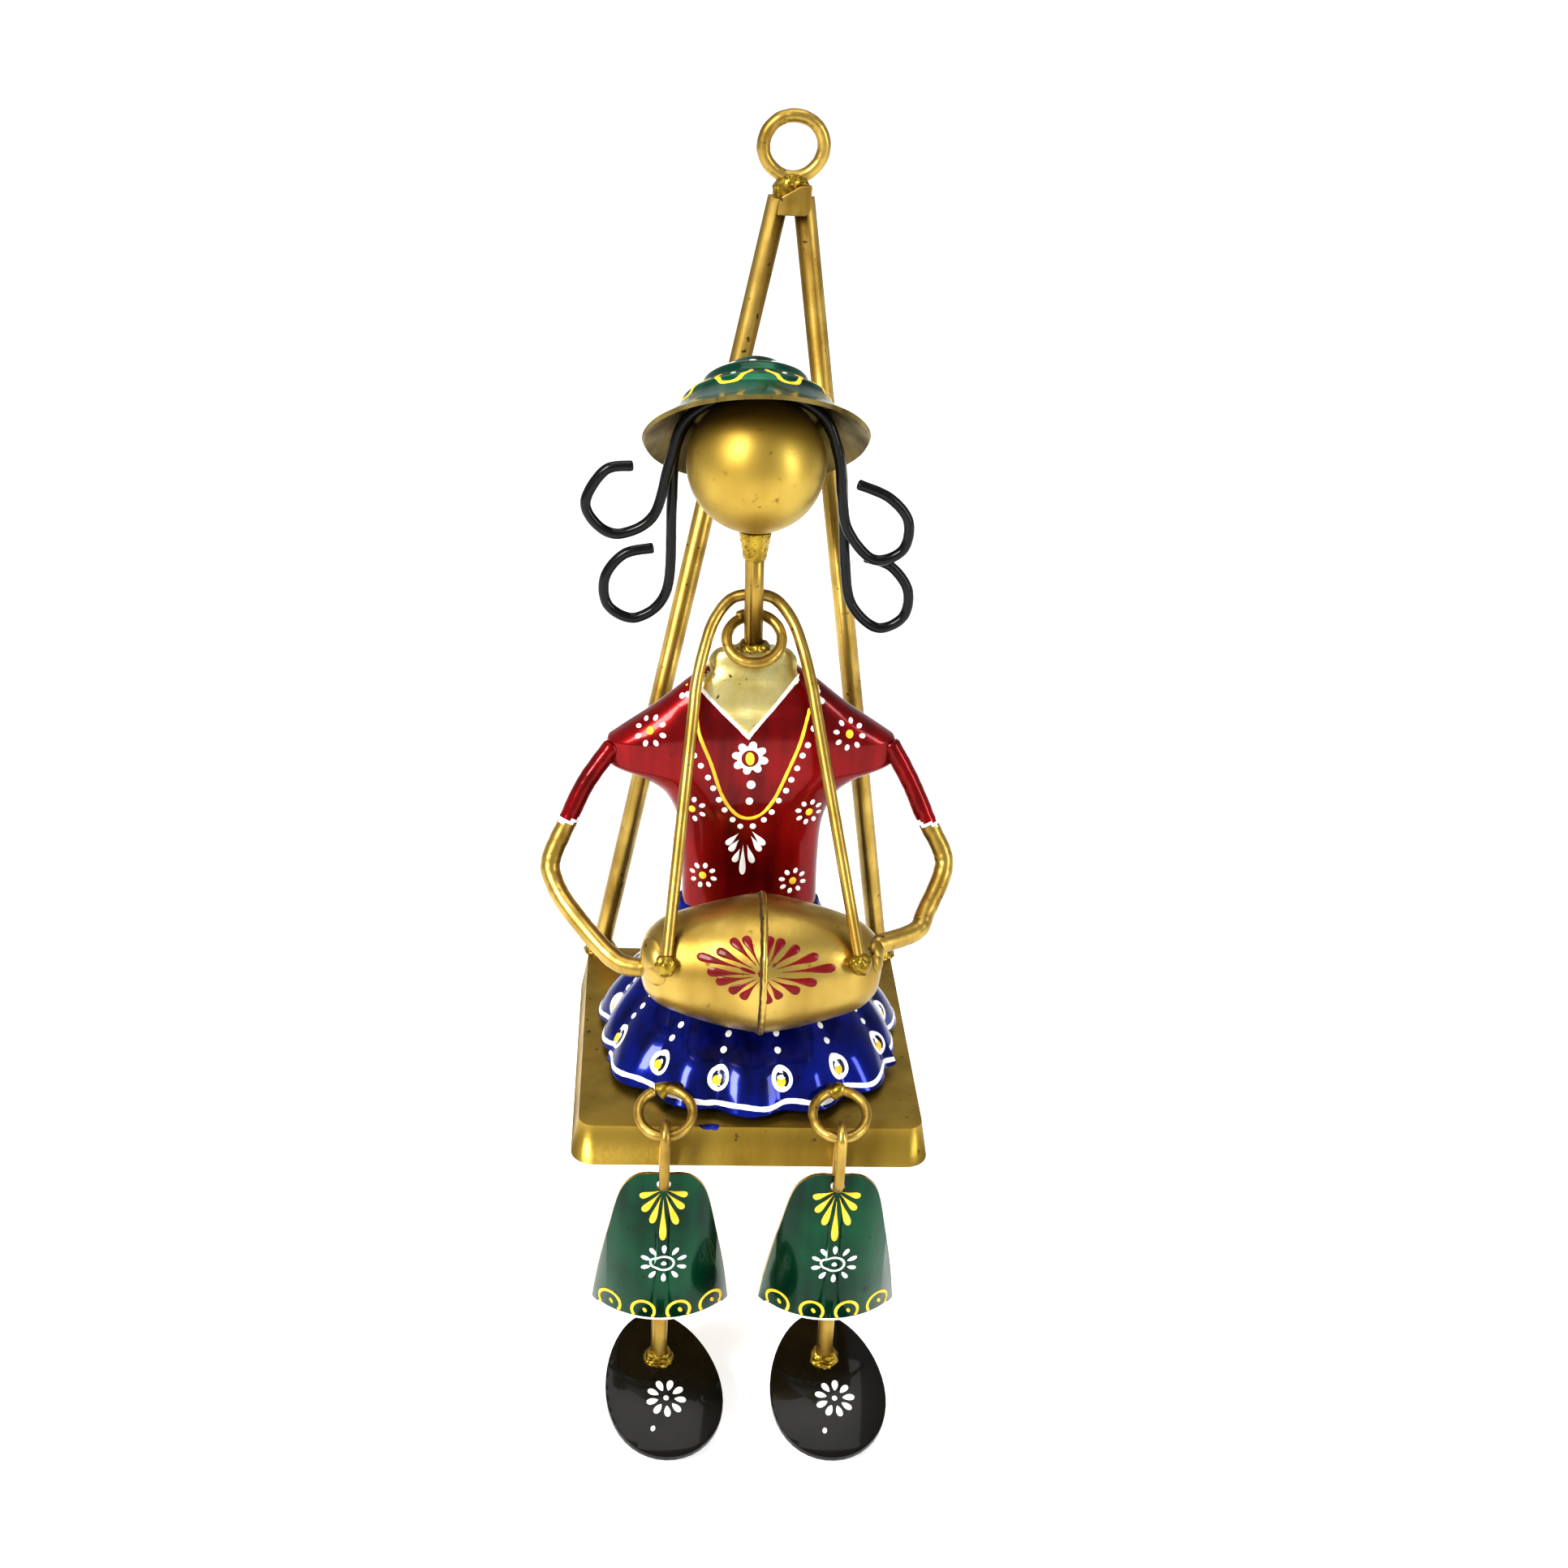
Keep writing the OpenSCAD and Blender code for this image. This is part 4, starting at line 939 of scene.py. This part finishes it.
black_enamel = enamel("black_enamel", (0.0015, 0.0015, 0.0015), (0.004, 0.0035, 0.0035), rough=0.3, metallic=0.0,
                      bump=0.05, sizes=(200.0, 300.0, 700.0, 600.0))
upper_hair = ((-25.1, -0.2), (-30.4, -1.2), (-34.4, -7.8), (-31.7, -13), (-27, -14.4), (-20.6, -10.4), (-17.2, 1.3),
              (-13.2, 10.4), (0, 15.6), (12.4, 11), (16.4, 2.3), (17.4, -6), (18.9, -13.6), (24.3, -19.8), (30.2, -17.9),
              (31.2, -11.7), (27.2, -6.7), (20.9, -3.9))
lower_hair = ((-21.1, -18.5), (-26.9, -19.9), (-30.8, -25), (-30.1, -31.2), (-24.2, -33.7), (-18, -27.4), (-17, -8.9),
              (-16, 3.6), (-10.6, 11.8), (0, 15.6), (11, 11.6), (16.6, 2.4), (18, -10), (18.8, -21.7), (20.4, -30.6),
              (25.9, -35.9), (31.3, -33.6), (32.1, -27.6), (28.3, -22.3), (23.1, -20.4))
for name, route, y in (("upper", upper_hair, -1.4), ("lower", lower_hair, 1.4)):
    line = [ball_mid + (side_way * p.x + Vector((-sin(lean), 0, cos(lean))) * p.y + Vector((0, y, 0))) * MM
            for p in curve_through([Vector(p) for p in route], 10)]
    finished(wire("hair_bend_" + name, [line], 1.1 * MM, black_enamel, uneven=0.04), "doll", "black_enamel",
             "hair_wire_" + name)


# ---- Arms: two round bars bent at the elbow, let into the sleeves and welded to the drum's ends. ----
# The upper arm is lacquered red down to a white band; below that the bar is gold. The left hand is
# hammered flat onto the drum, and the right one ends in a bead of weld.

def fig(x, y, z):
    """A point of the figure, in mm: across, from the wall, and up from the top of its torso."""
    return leaned(x, y + figure_y, z + torso_h)


arm_ways = {
    "left": ((-29.8, -2, -22), (-35.4, -4.2, -29.5), (-39.6, -6.5, -38), (-42.8, -9, -45), (-42.2, -11.6, -49),
             (-38.4, -16.6, -53.6), (-29, -24.6, -61), (-21.6, -26.5, -62)),
    "right": ((29.8, -2, -21.6), (34.2, -4.2, -29.5), (37.6, -6.5, -37), (41.2, -9, -44), (41, -11.6, -48),
              (37.2, -17, -54), (34.6, -21, -56.6), (25.6, -27, -56.4))}
arm_band = {"left": -37.6, "right": -36.4}
for side, way in arm_ways.items():
    line = curve_through([fig(*p) for p in way], 14)
    arm = wire("arm_bar_" + side, [line], 2.08 * MM, gold_coat, sides=28, uneven=0.05)
    arm.data.materials.append(red_enamel)
    arm.data.materials.append(white_paint)
    band = fig(0, 0, arm_band[side]).z
    slope = 0.5 if side == "left" else -0.5
    for face in arm.data.polygons:
        height = (face.center.z - band) / MM + slope * 0.25 * ((face.center.x - line[28].x) / MM)
        height += 0.5 * noise.noise(face.center / MM * 0.7)
        if face.center.z > fig(0, 0, -46).z:
            face.material_index = 1 if height > 0.6 else 2 if height > -0.5 else 0
    finished(arm, "doll", "gold_paint", "arm_" + side)


# ---- Drum: two pressed cups welded mouth to mouth, slung from a wire that goes round the neck. ----
# A raised bead runs round the seam with a dark line of painted shade laid beside it, beads hold the wire's ends, and a
# spray of dark red drops is painted across the front.

drum_low, drum_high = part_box("drum_cup_left")[0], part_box("drum_cup_right")[1]
drum_mid = (drum_low + drum_high) / 2
drum_r = (drum_high.z - drum_low.z) / 2 / MM
drum_half = (drum_high.x - drum_low.x) / 2 / MM
drum_coat = coat("drum_gold_coat", (0.26, 0.165, 0.032), (0.5, 0.35, 0.09), 0.34, 0.95, bump=0.3,
                 sizes=(55.0, 140.0, 420.0, 900.0))
cup = [(p.y * drum_r, p.x * drum_half) for p in curve_through([Vector(p) for p in (
    (0, 1, 0), (0.2, 0.945, 0), (0.4, 0.865, 0), (0.6, 0.765, 0), (0.78, 0.65, 0), (0.88, 0.53, 0), (0.957, 0.35, 0),
    (1, 0.0, 0))], 7)]
cup = [(max(r, 0), h) for r, h in cup]
cup_wall = 1
cup_inside = [(r * (drum_r - cup_wall) / drum_r, h * (drum_r - cup_wall) / drum_r) for r, h in cup]
cups = []
for side, turn in (("left", -90), ("right", 90)):
    place = Matrix.Translation(drum_mid) @ Matrix.Rotation(radians(turn), 4, "Y")
    half = spun("drum_half_" + side, cup + cup_inside[::-1], drum_coat, place, 144, wobble=0.006)
    cups.append(finished(half, "doll", "gold_paint", "drum_cup_" + side))
drum_shell = shell_of(*cups)
seam = [drum_mid + Vector((0, cos(a), sin(a))) * (drum_r - 0.15) * MM
        for a in (2 * pi * i / 160 for i in range(160))]
finished(wire("drum_seam_bead", [seam], 0.62 * MM, drum_coat, closed=True, sides=12, uneven=0.3), "doll",
         "gold_paint", "drum_seam")
# a thin near-black line laid beside the seam bead is painted shade in the crevice there
seam_shade_paint = coat("drum_seam_soot", (0.02, 0.014, 0.006), (0.06, 0.04, 0.015), 0.6, 0.3)
seam_shade_line = [p - Vector((0.72, 0, 0)) * MM for p in seam]
finished(wire("drum_seam_gap", [seam_shade_line], 0.26 * MM, seam_shade_paint, closed=True, sides=8, uneven=0.5), "doll",
         "gold_paint")
drum_view = (0, 0.93, -0.36)
drum_face = spot_on(drum_shell, drum_mid + Vector((-0.6, -34.1, 13.0)) * MM, drum_view)
ends = ((-13.6, 2.6), (-9.6, 4.2), (-6.9, 6.7), (-4.2, 7.4), (-11.1, -0.5), (-9.1, -2.4), (-6.2, -4.2), (-3.7, -5.4),
        (1.2, 7.9), (3.6, 7.4), (6.9, 6.2), (11, 4.6), (14.8, 2.2), (11.2, -1.3), (7.7, -3.3), (4.2, -4.8), (1.9, -6.0))
dabs("drum_spray", drum_shell, drops(drum_face, [(e, (e[0] * 0.24 + 0.2, e[1] * 0.26)) for e in ends], 2.05),
     dark_red, "doll", "red_enamel", taper=2.8, relief=0.2)
dabs("drum_spray_middle", drum_shell,
     [(drum_face, -0.3, 0.1, 1.5, 1.0, 70), (drum_face, -3.0, 0.6, 0.8, 3.6, -75)], dark_red, "doll", "red_enamel")

hand = spot_on(drum_shell, drum_mid + Vector((-23.4, -34.1, 14.5)) * MM, drum_view)
wrist = spot_on(drum_shell, drum_mid + Vector((24.2, -34.1, 17)) * MM, drum_view)
dabs("hammered_hand", drum_shell, [(hand, -0.6, 0.8, 6.5, 9.5, -58), (hand, 1.6, -1.4, 5.6, 7.0, -50)],
     drum_coat, "doll", "gold_paint", relief=0.34)
dabs("right_arm_weld", drum_shell, [(wrist, 0, 0, 5.4, 5.4, 0), (wrist, -1.6, -1.4, 4.2, 5.0, 30)], drum_coat, "doll",
     "gold_paint", relief=0.42)

strap_spread, strap_land_r, strap_back = 20, 11.21, 3.65


def strap_leg(s):
    """One side of the wire, from where it lands on the drum to behind the neck."""
    foot = Vector(((drum_mid.x / MM - waist_x) + s * strap_spread, -26.5 - strap_land_r * 0.88,
                   -60.7 + strap_land_r * 0.47))
    shoulder = Vector((s * 12, strap_back - 10.5, -5.6))
    return [foot, foot + 0.45 * (shoulder - foot), foot + 0.88 * (shoulder - foot), shoulder,
            Vector((s * 10.4, strap_back - 6.6, 0.4)), Vector((s * 8.2, strap_back - 2.6, 5.6)),
            Vector((s * 4.6, strap_back, 9.4))]


strap_way = strap_leg(-1) + [Vector((0, strap_back, 10.4))] + strap_leg(1)[::-1]
strap_line = [fig(*p) for p in curve_through(strap_way, 9)]
finished(wire("carrying_wire", [strap_line], 1.25 * MM, gold_coat, sides=24, uneven=0.04), "doll", "gold_paint",
         "drum_strap")
finished(lumpy("carrying_wire_welds", weld_coat, 6, 0.28, "strap_welds"), "doll", "gold_paint", "strap_welds")


# ---- Leg rings and links: short rings of cut wire welded to the hem, each with a long link in it. ----
# The cut ends of the rings and links don't quite meet.

ring_tilt, ring_turn_r = radians(64), 5.7
link_half = 1.15 * MM
ring_welds = []
for side in ("left", "right"):
    mid = centre_of("leg_ring_" + side)
    back_way = Vector((0, sin(ring_tilt), cos(ring_tilt)))
    line = []
    start = 118 if side == "left" else 102
    for i in range(91):
        a = radians(start + 3.83 * i)
        line.append(mid + (Vector((1, 0, 0)) * cos(a) + back_way * sin(a)) * ring_turn_r * MM
                    + Vector((0, -cos(ring_tilt), sin(ring_tilt))) * 0.25 * (i / 90 - 0.5) * MM)
    finished(wire("leg_ring_wire_" + side, [line], 1.08 * MM, gold_coat, sides=22, uneven=0.06), "doll", "gold_paint",
             "leg_ring_" + side)
    ring_top = mid + back_way * 5.9 * MM
    hem_spot = skirt_shell.find_nearest(ring_top)[0]
    weld_way = curve_through([ring_top - Vector((1.2, 0.2, 0.7)) * MM, ring_top,
                              (ring_top + hem_spot) / 2 + Vector((0.5, 0, 0.2)) * MM,
                              hem_spot + Vector((1.0, 0.3, 0)) * MM], 6)
    ring_welds.append(wire("ring_weld_" + side, [weld_way], 1.5 * MM, weld_coat, sides=24, uneven=0.5))
    low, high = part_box("leg_link_" + side)
    x, y = (low.x + high.x) / 2, (low.y + high.y) / 2
    r = (high.y - low.y) / 2 - link_half
    top_z, low_z = high.z - r - link_half, low.z + r + link_half
    loop = [Vector((x, y - r * sin(a), low_z - r * cos(a))) for a in (radians(8 * i) for i in range(12))]
    loop += [Vector((x, y - r, low_z + (top_z - low_z) * i / 8)) for i in range(1, 8)]
    loop += [Vector((x, y - r * cos(a), top_z + r * sin(a))) for a in (radians(9 * i) for i in range(21))]
    loop += [Vector((x, y + r, top_z + (low_z - top_z) * i / 8)) for i in range(1, 8)]
    loop += [Vector((x, y + r * cos(a), low_z - r * sin(a))) for a in (radians(8 * i) for i in range(10))]
    finished(wire("link_wire_" + side, [loop], 1.13 * MM, gold_coat, sides=22, uneven=0.05), "link_" + side,
             "gold_paint", "leg_link_" + side)
joined = bmesh.new()
for weld in ring_welds:
    joined.from_mesh(weld.data)
joined.to_mesh(ring_welds[0].data)
joined.free()
bpy.data.objects.remove(ring_welds.pop())
ring_welds[0].name = "leg_ring_weld_metal"
finished(ring_welds[0], "doll", "gold_paint", "ring_welds")


# ---- Legs: a curved trouser plate, a shin rod welded up its back, and a domed shoe plate. ----
# The trousers are green enamel with a yellow spray, a white sun with an eye, and yellow rounds on
# the hem; the shoes are gloss black with a white flower. The backs keep the bare gold coat.

shoe_black = enamel("shoe_black_enamel", (0.002, 0.0015, 0.001), (0.006, 0.005, 0.003), rough=0.25,
                    metallic=0.0, bump=0.1, sizes=(60.0, 120.0, 500.0, 500.0))
trouser_green = enamel("trouser_green_enamel", (0.0005, 0.012, 0.006), (0.001, 0.065, 0.026), rough=0.2, metallic=0.6,
                       sizes=(60.0, 160.0, 600.0, 700.0))
fan = ((-4.4, -2.4), (-3.8, -5.6), (-2.2, -8.4), (0.1, -12.2), (2.7, -8.5), (3.9, -5.0), (4.5, -2.0))
front_drop = 12


def eye_rim(a):
    """The outline of the sun's eye, drawn out to a corner on one side."""
    corner = cos(a) < -0.7
    return (2.15 * cos(a) * (1.35 if corner else 1), 1.75 * sin(a) + (0.9 * (-cos(a) - 0.7) if corner else 0))


for side in ("left", "right"):
    body = "leg_" + side
    plate = softened(merged_copy("trouser_plate_" + side, trouser_green, "trouser_" + side), 0.22, 2, 50)
    plate.data.materials.append(gold_coat)
    for face in plate.data.polygons:
        if face.normal.y > -0.35:
            face.material_index = 1
    finished(plate, body, "green_enamel", "trouser_" + side)
    plate_shell = shell_of(plate)
    low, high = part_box("trouser_" + side)
    mid_x, tall = (low.x + high.x) / 2, (high.z - low.z) / MM
    front = spot_on(plate_shell, (mid_x, low.y - 20 * MM, high.z - front_drop * MM), (0, 1, 0))
    sun = spot_on(plate_shell, (mid_x + 0.5 * MM, low.y - 20 * MM, high.z - 23.2 * MM), (0, 1, 0))
    spray = drops(front, [((x * 1.1, z * 1.1), (x * 0.22, z * 0.25 - 0.2)) for x, z in fan], 1.6, 8.6)
    dabs("trouser_spray_" + side, plate_shell, spray, yellow_paint, body, "green_enamel", taper=1.8)
    dabs("trouser_sun_" + side, plate_shell, round_marks(sun, 4.05, 10, 1.05, 2.2, 0, squash=0.92)
         + [(sun, 0, 0, 1.2, 1.1, 0)], white_paint, body, "green_enamel", taper=0.3)
    eye = [on_spot(plate_shell, sun, *eye_rim(2 * pi * i / 30))[0] for i in range(30)]
    lines("trouser_eye_" + side, plate_shell, [eye], 0.5, white_paint, body, "green_enamel", closed=True)
    rounds, dots = [], []
    hem_z = -tall + front_drop
    for n, u in enumerate((-11.0, -3.7, 4.0, 11.0)):
        z0 = hem_z + 0.35
        arc = []
        for i in range(22):
            a = radians(214 - 248 * i / 21)
            wide = 2.55 * (1 - 0.1 * abs(u) / 11)
            arc.append(on_spot(plate_shell, front, u + wide * cos(a), z0 + 1.9 + 2.5 * sin(a))[0])
        rounds.append(arc)
        dots.append((front, u + 0.35, z0 + 2.1, 1.35, 0.85, 62))
    lines("trouser_rounds_" + side, plate_shell, rounds, 0.72, yellow_paint, body, "green_enamel")
    dabs("trouser_dots_" + side, plate_shell, dots, yellow_paint, body, "green_enamel")
    hem = [on_spot(plate_shell, front, -14.3 + 28.6 * i / 60, hem_z + 0.32)[0] for i in range(61)]
    lines("trouser_hem_line_" + side, plate_shell, [hem], 0.55, white_paint, body, "green_enamel")

    finished(merged_copy("shin_bar_" + side, gold_coat, "shin_rod_" + side), body, "gold_paint", "shin_rod_" + side)
    finished(lumpy("leg_weld_metal_" + side, weld_coat, 9, 0.3, "leg_welds_" + side), body, "gold_paint",
             "leg_welds_" + side)

    sole = softened(merged_copy("shoe_plate_" + side, shoe_black, "shoe_" + side), 0.3, 3, 50)
    finished(sole, body, "black_enamel", "shoe_" + side)
    sole_shell = shell_of(sole)
    low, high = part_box("shoe_" + side)
    shift, share, tilt, dot_x = {"left": (0.4, 0.66, -8, -1.6), "right": (1.3, 0.66, 2, -2.6)}[side]
    above = ((low.x + high.x) / 2 + shift * MM, high.y + (low.y - high.y) * share, high.z + 20 * MM)
    flower = spot_on(sole_shell, above, (0, 0, -1), up=(0, 1, 0), tilt=radians(tilt))
    dabs("shoe_flower_" + side, sole_shell, round_marks(flower, 3.1, 9, 1.45, 2.6, 5), white_paint, body,
         "black_enamel", taper=0.35)
    dabs("shoe_dots_" + side, sole_shell, [(flower, 0, 0, 1.2, 1.2, 0), (flower, dot_x, -7.4, 1.0, 1.3, 10)],
         white_paint, body, "black_enamel")


# ---- Stand: a plain pale floor under soft studio light. ----
# The floor glows a little, so that it stays white behind the object.

floor_mesh = bpy.data.meshes.new("floor")
floor_z, reach = cad_box[0][2] - 2 * MM, 4
floor_mesh.from_pydata([(x * reach, y * reach, floor_z) for x, y in ((-1, -1), (1, -1), (1, 1), (-1, 1))], [],
                       [(0, 1, 2, 3)])
floor = piece_from("floor", floor_mesh, coat("pale_floor", (0.78, 0.78, 0.78), (0.84, 0.84, 0.84), 0.7, 0.0,
                                             bump=0.05, sizes=(3.0, 6.0, 20.0, 60.0), speck=(0.8, 0.8, 0.8)))
glow = floor.data.materials[0].node_tree.nodes["Principled BSDF"]
glow.inputs["Emission Color"].default_value = (1, 1, 1, 1)
glow.inputs["Emission Strength"].default_value = 0.5


def lamp(name, spot, aim, wide, high, power, tint=(1, 1, 1)):
    light = bpy.data.lights.new(name, "AREA")
    light.shape, light.size, light.size_y, light.energy, light.color = "RECTANGLE", wide, high, power, tint
    held = bpy.data.objects.new(name, light)
    held.location = spot
    held.rotation_euler = (Vector(aim) - Vector(spot)).to_track_quat("-Z", "Y").to_euler()
    bpy.context.scene.collection.objects.link(held)


middle = (Vector(cad_box[0]) + Vector(cad_box[1])) / 2
lamp("window_left", middle + Vector((-0.7, -0.75, 0.75)), middle, 0.3, 0.6, 18, (1, 0.98, 0.95))
lamp("window_right", middle + Vector((0.95, -0.6, 0.35)), middle, 0.18, 0.7, 5, (0.95, 0.98, 1))
lamp("ceiling", middle + Vector((0.0, 0.1, 1.1)), middle, 0.9, 0.9, 6)
sky = bpy.data.worlds.new("room")
sky.use_nodes = True
sky.node_tree.nodes["Background"].inputs["Color"].default_value = (0.95, 0.97, 1, 1)
sky.node_tree.nodes["Background"].inputs["Strength"].default_value = 0.5
bpy.context.scene.world = sky
bpy.context.scene.view_settings.view_transform = "Standard"
bpy.context.scene.view_settings.look = "Medium High Contrast"

# ---- Camera: from in front and above, turned a little about all three axes. ----

eye_level = Vector((-29.2, -447.6, 68.8)) * MM
yaw, pitch, roll = radians(4.38), radians(25.47), radians(3.1)
look = Vector((sin(yaw) * cos(pitch), cos(yaw) * cos(pitch), -sin(pitch)))
level = Vector((cos(yaw), -sin(yaw), 0))
upright = level.cross(look)
across = cos(roll) * level + sin(roll) * upright
rise = cos(roll) * upright - sin(roll) * level
lens = bpy.data.cameras.new("studio_camera")
lens.lens, lens.sensor_width = 48.63, 36
camera = bpy.data.objects.new("studio_camera", lens)
camera.matrix_world = Matrix.Translation(eye_level) @ Matrix((across, rise, -look)).transposed().to_4x4()
bpy.context.scene.collection.objects.link(camera)
bpy.context.scene.camera = camera
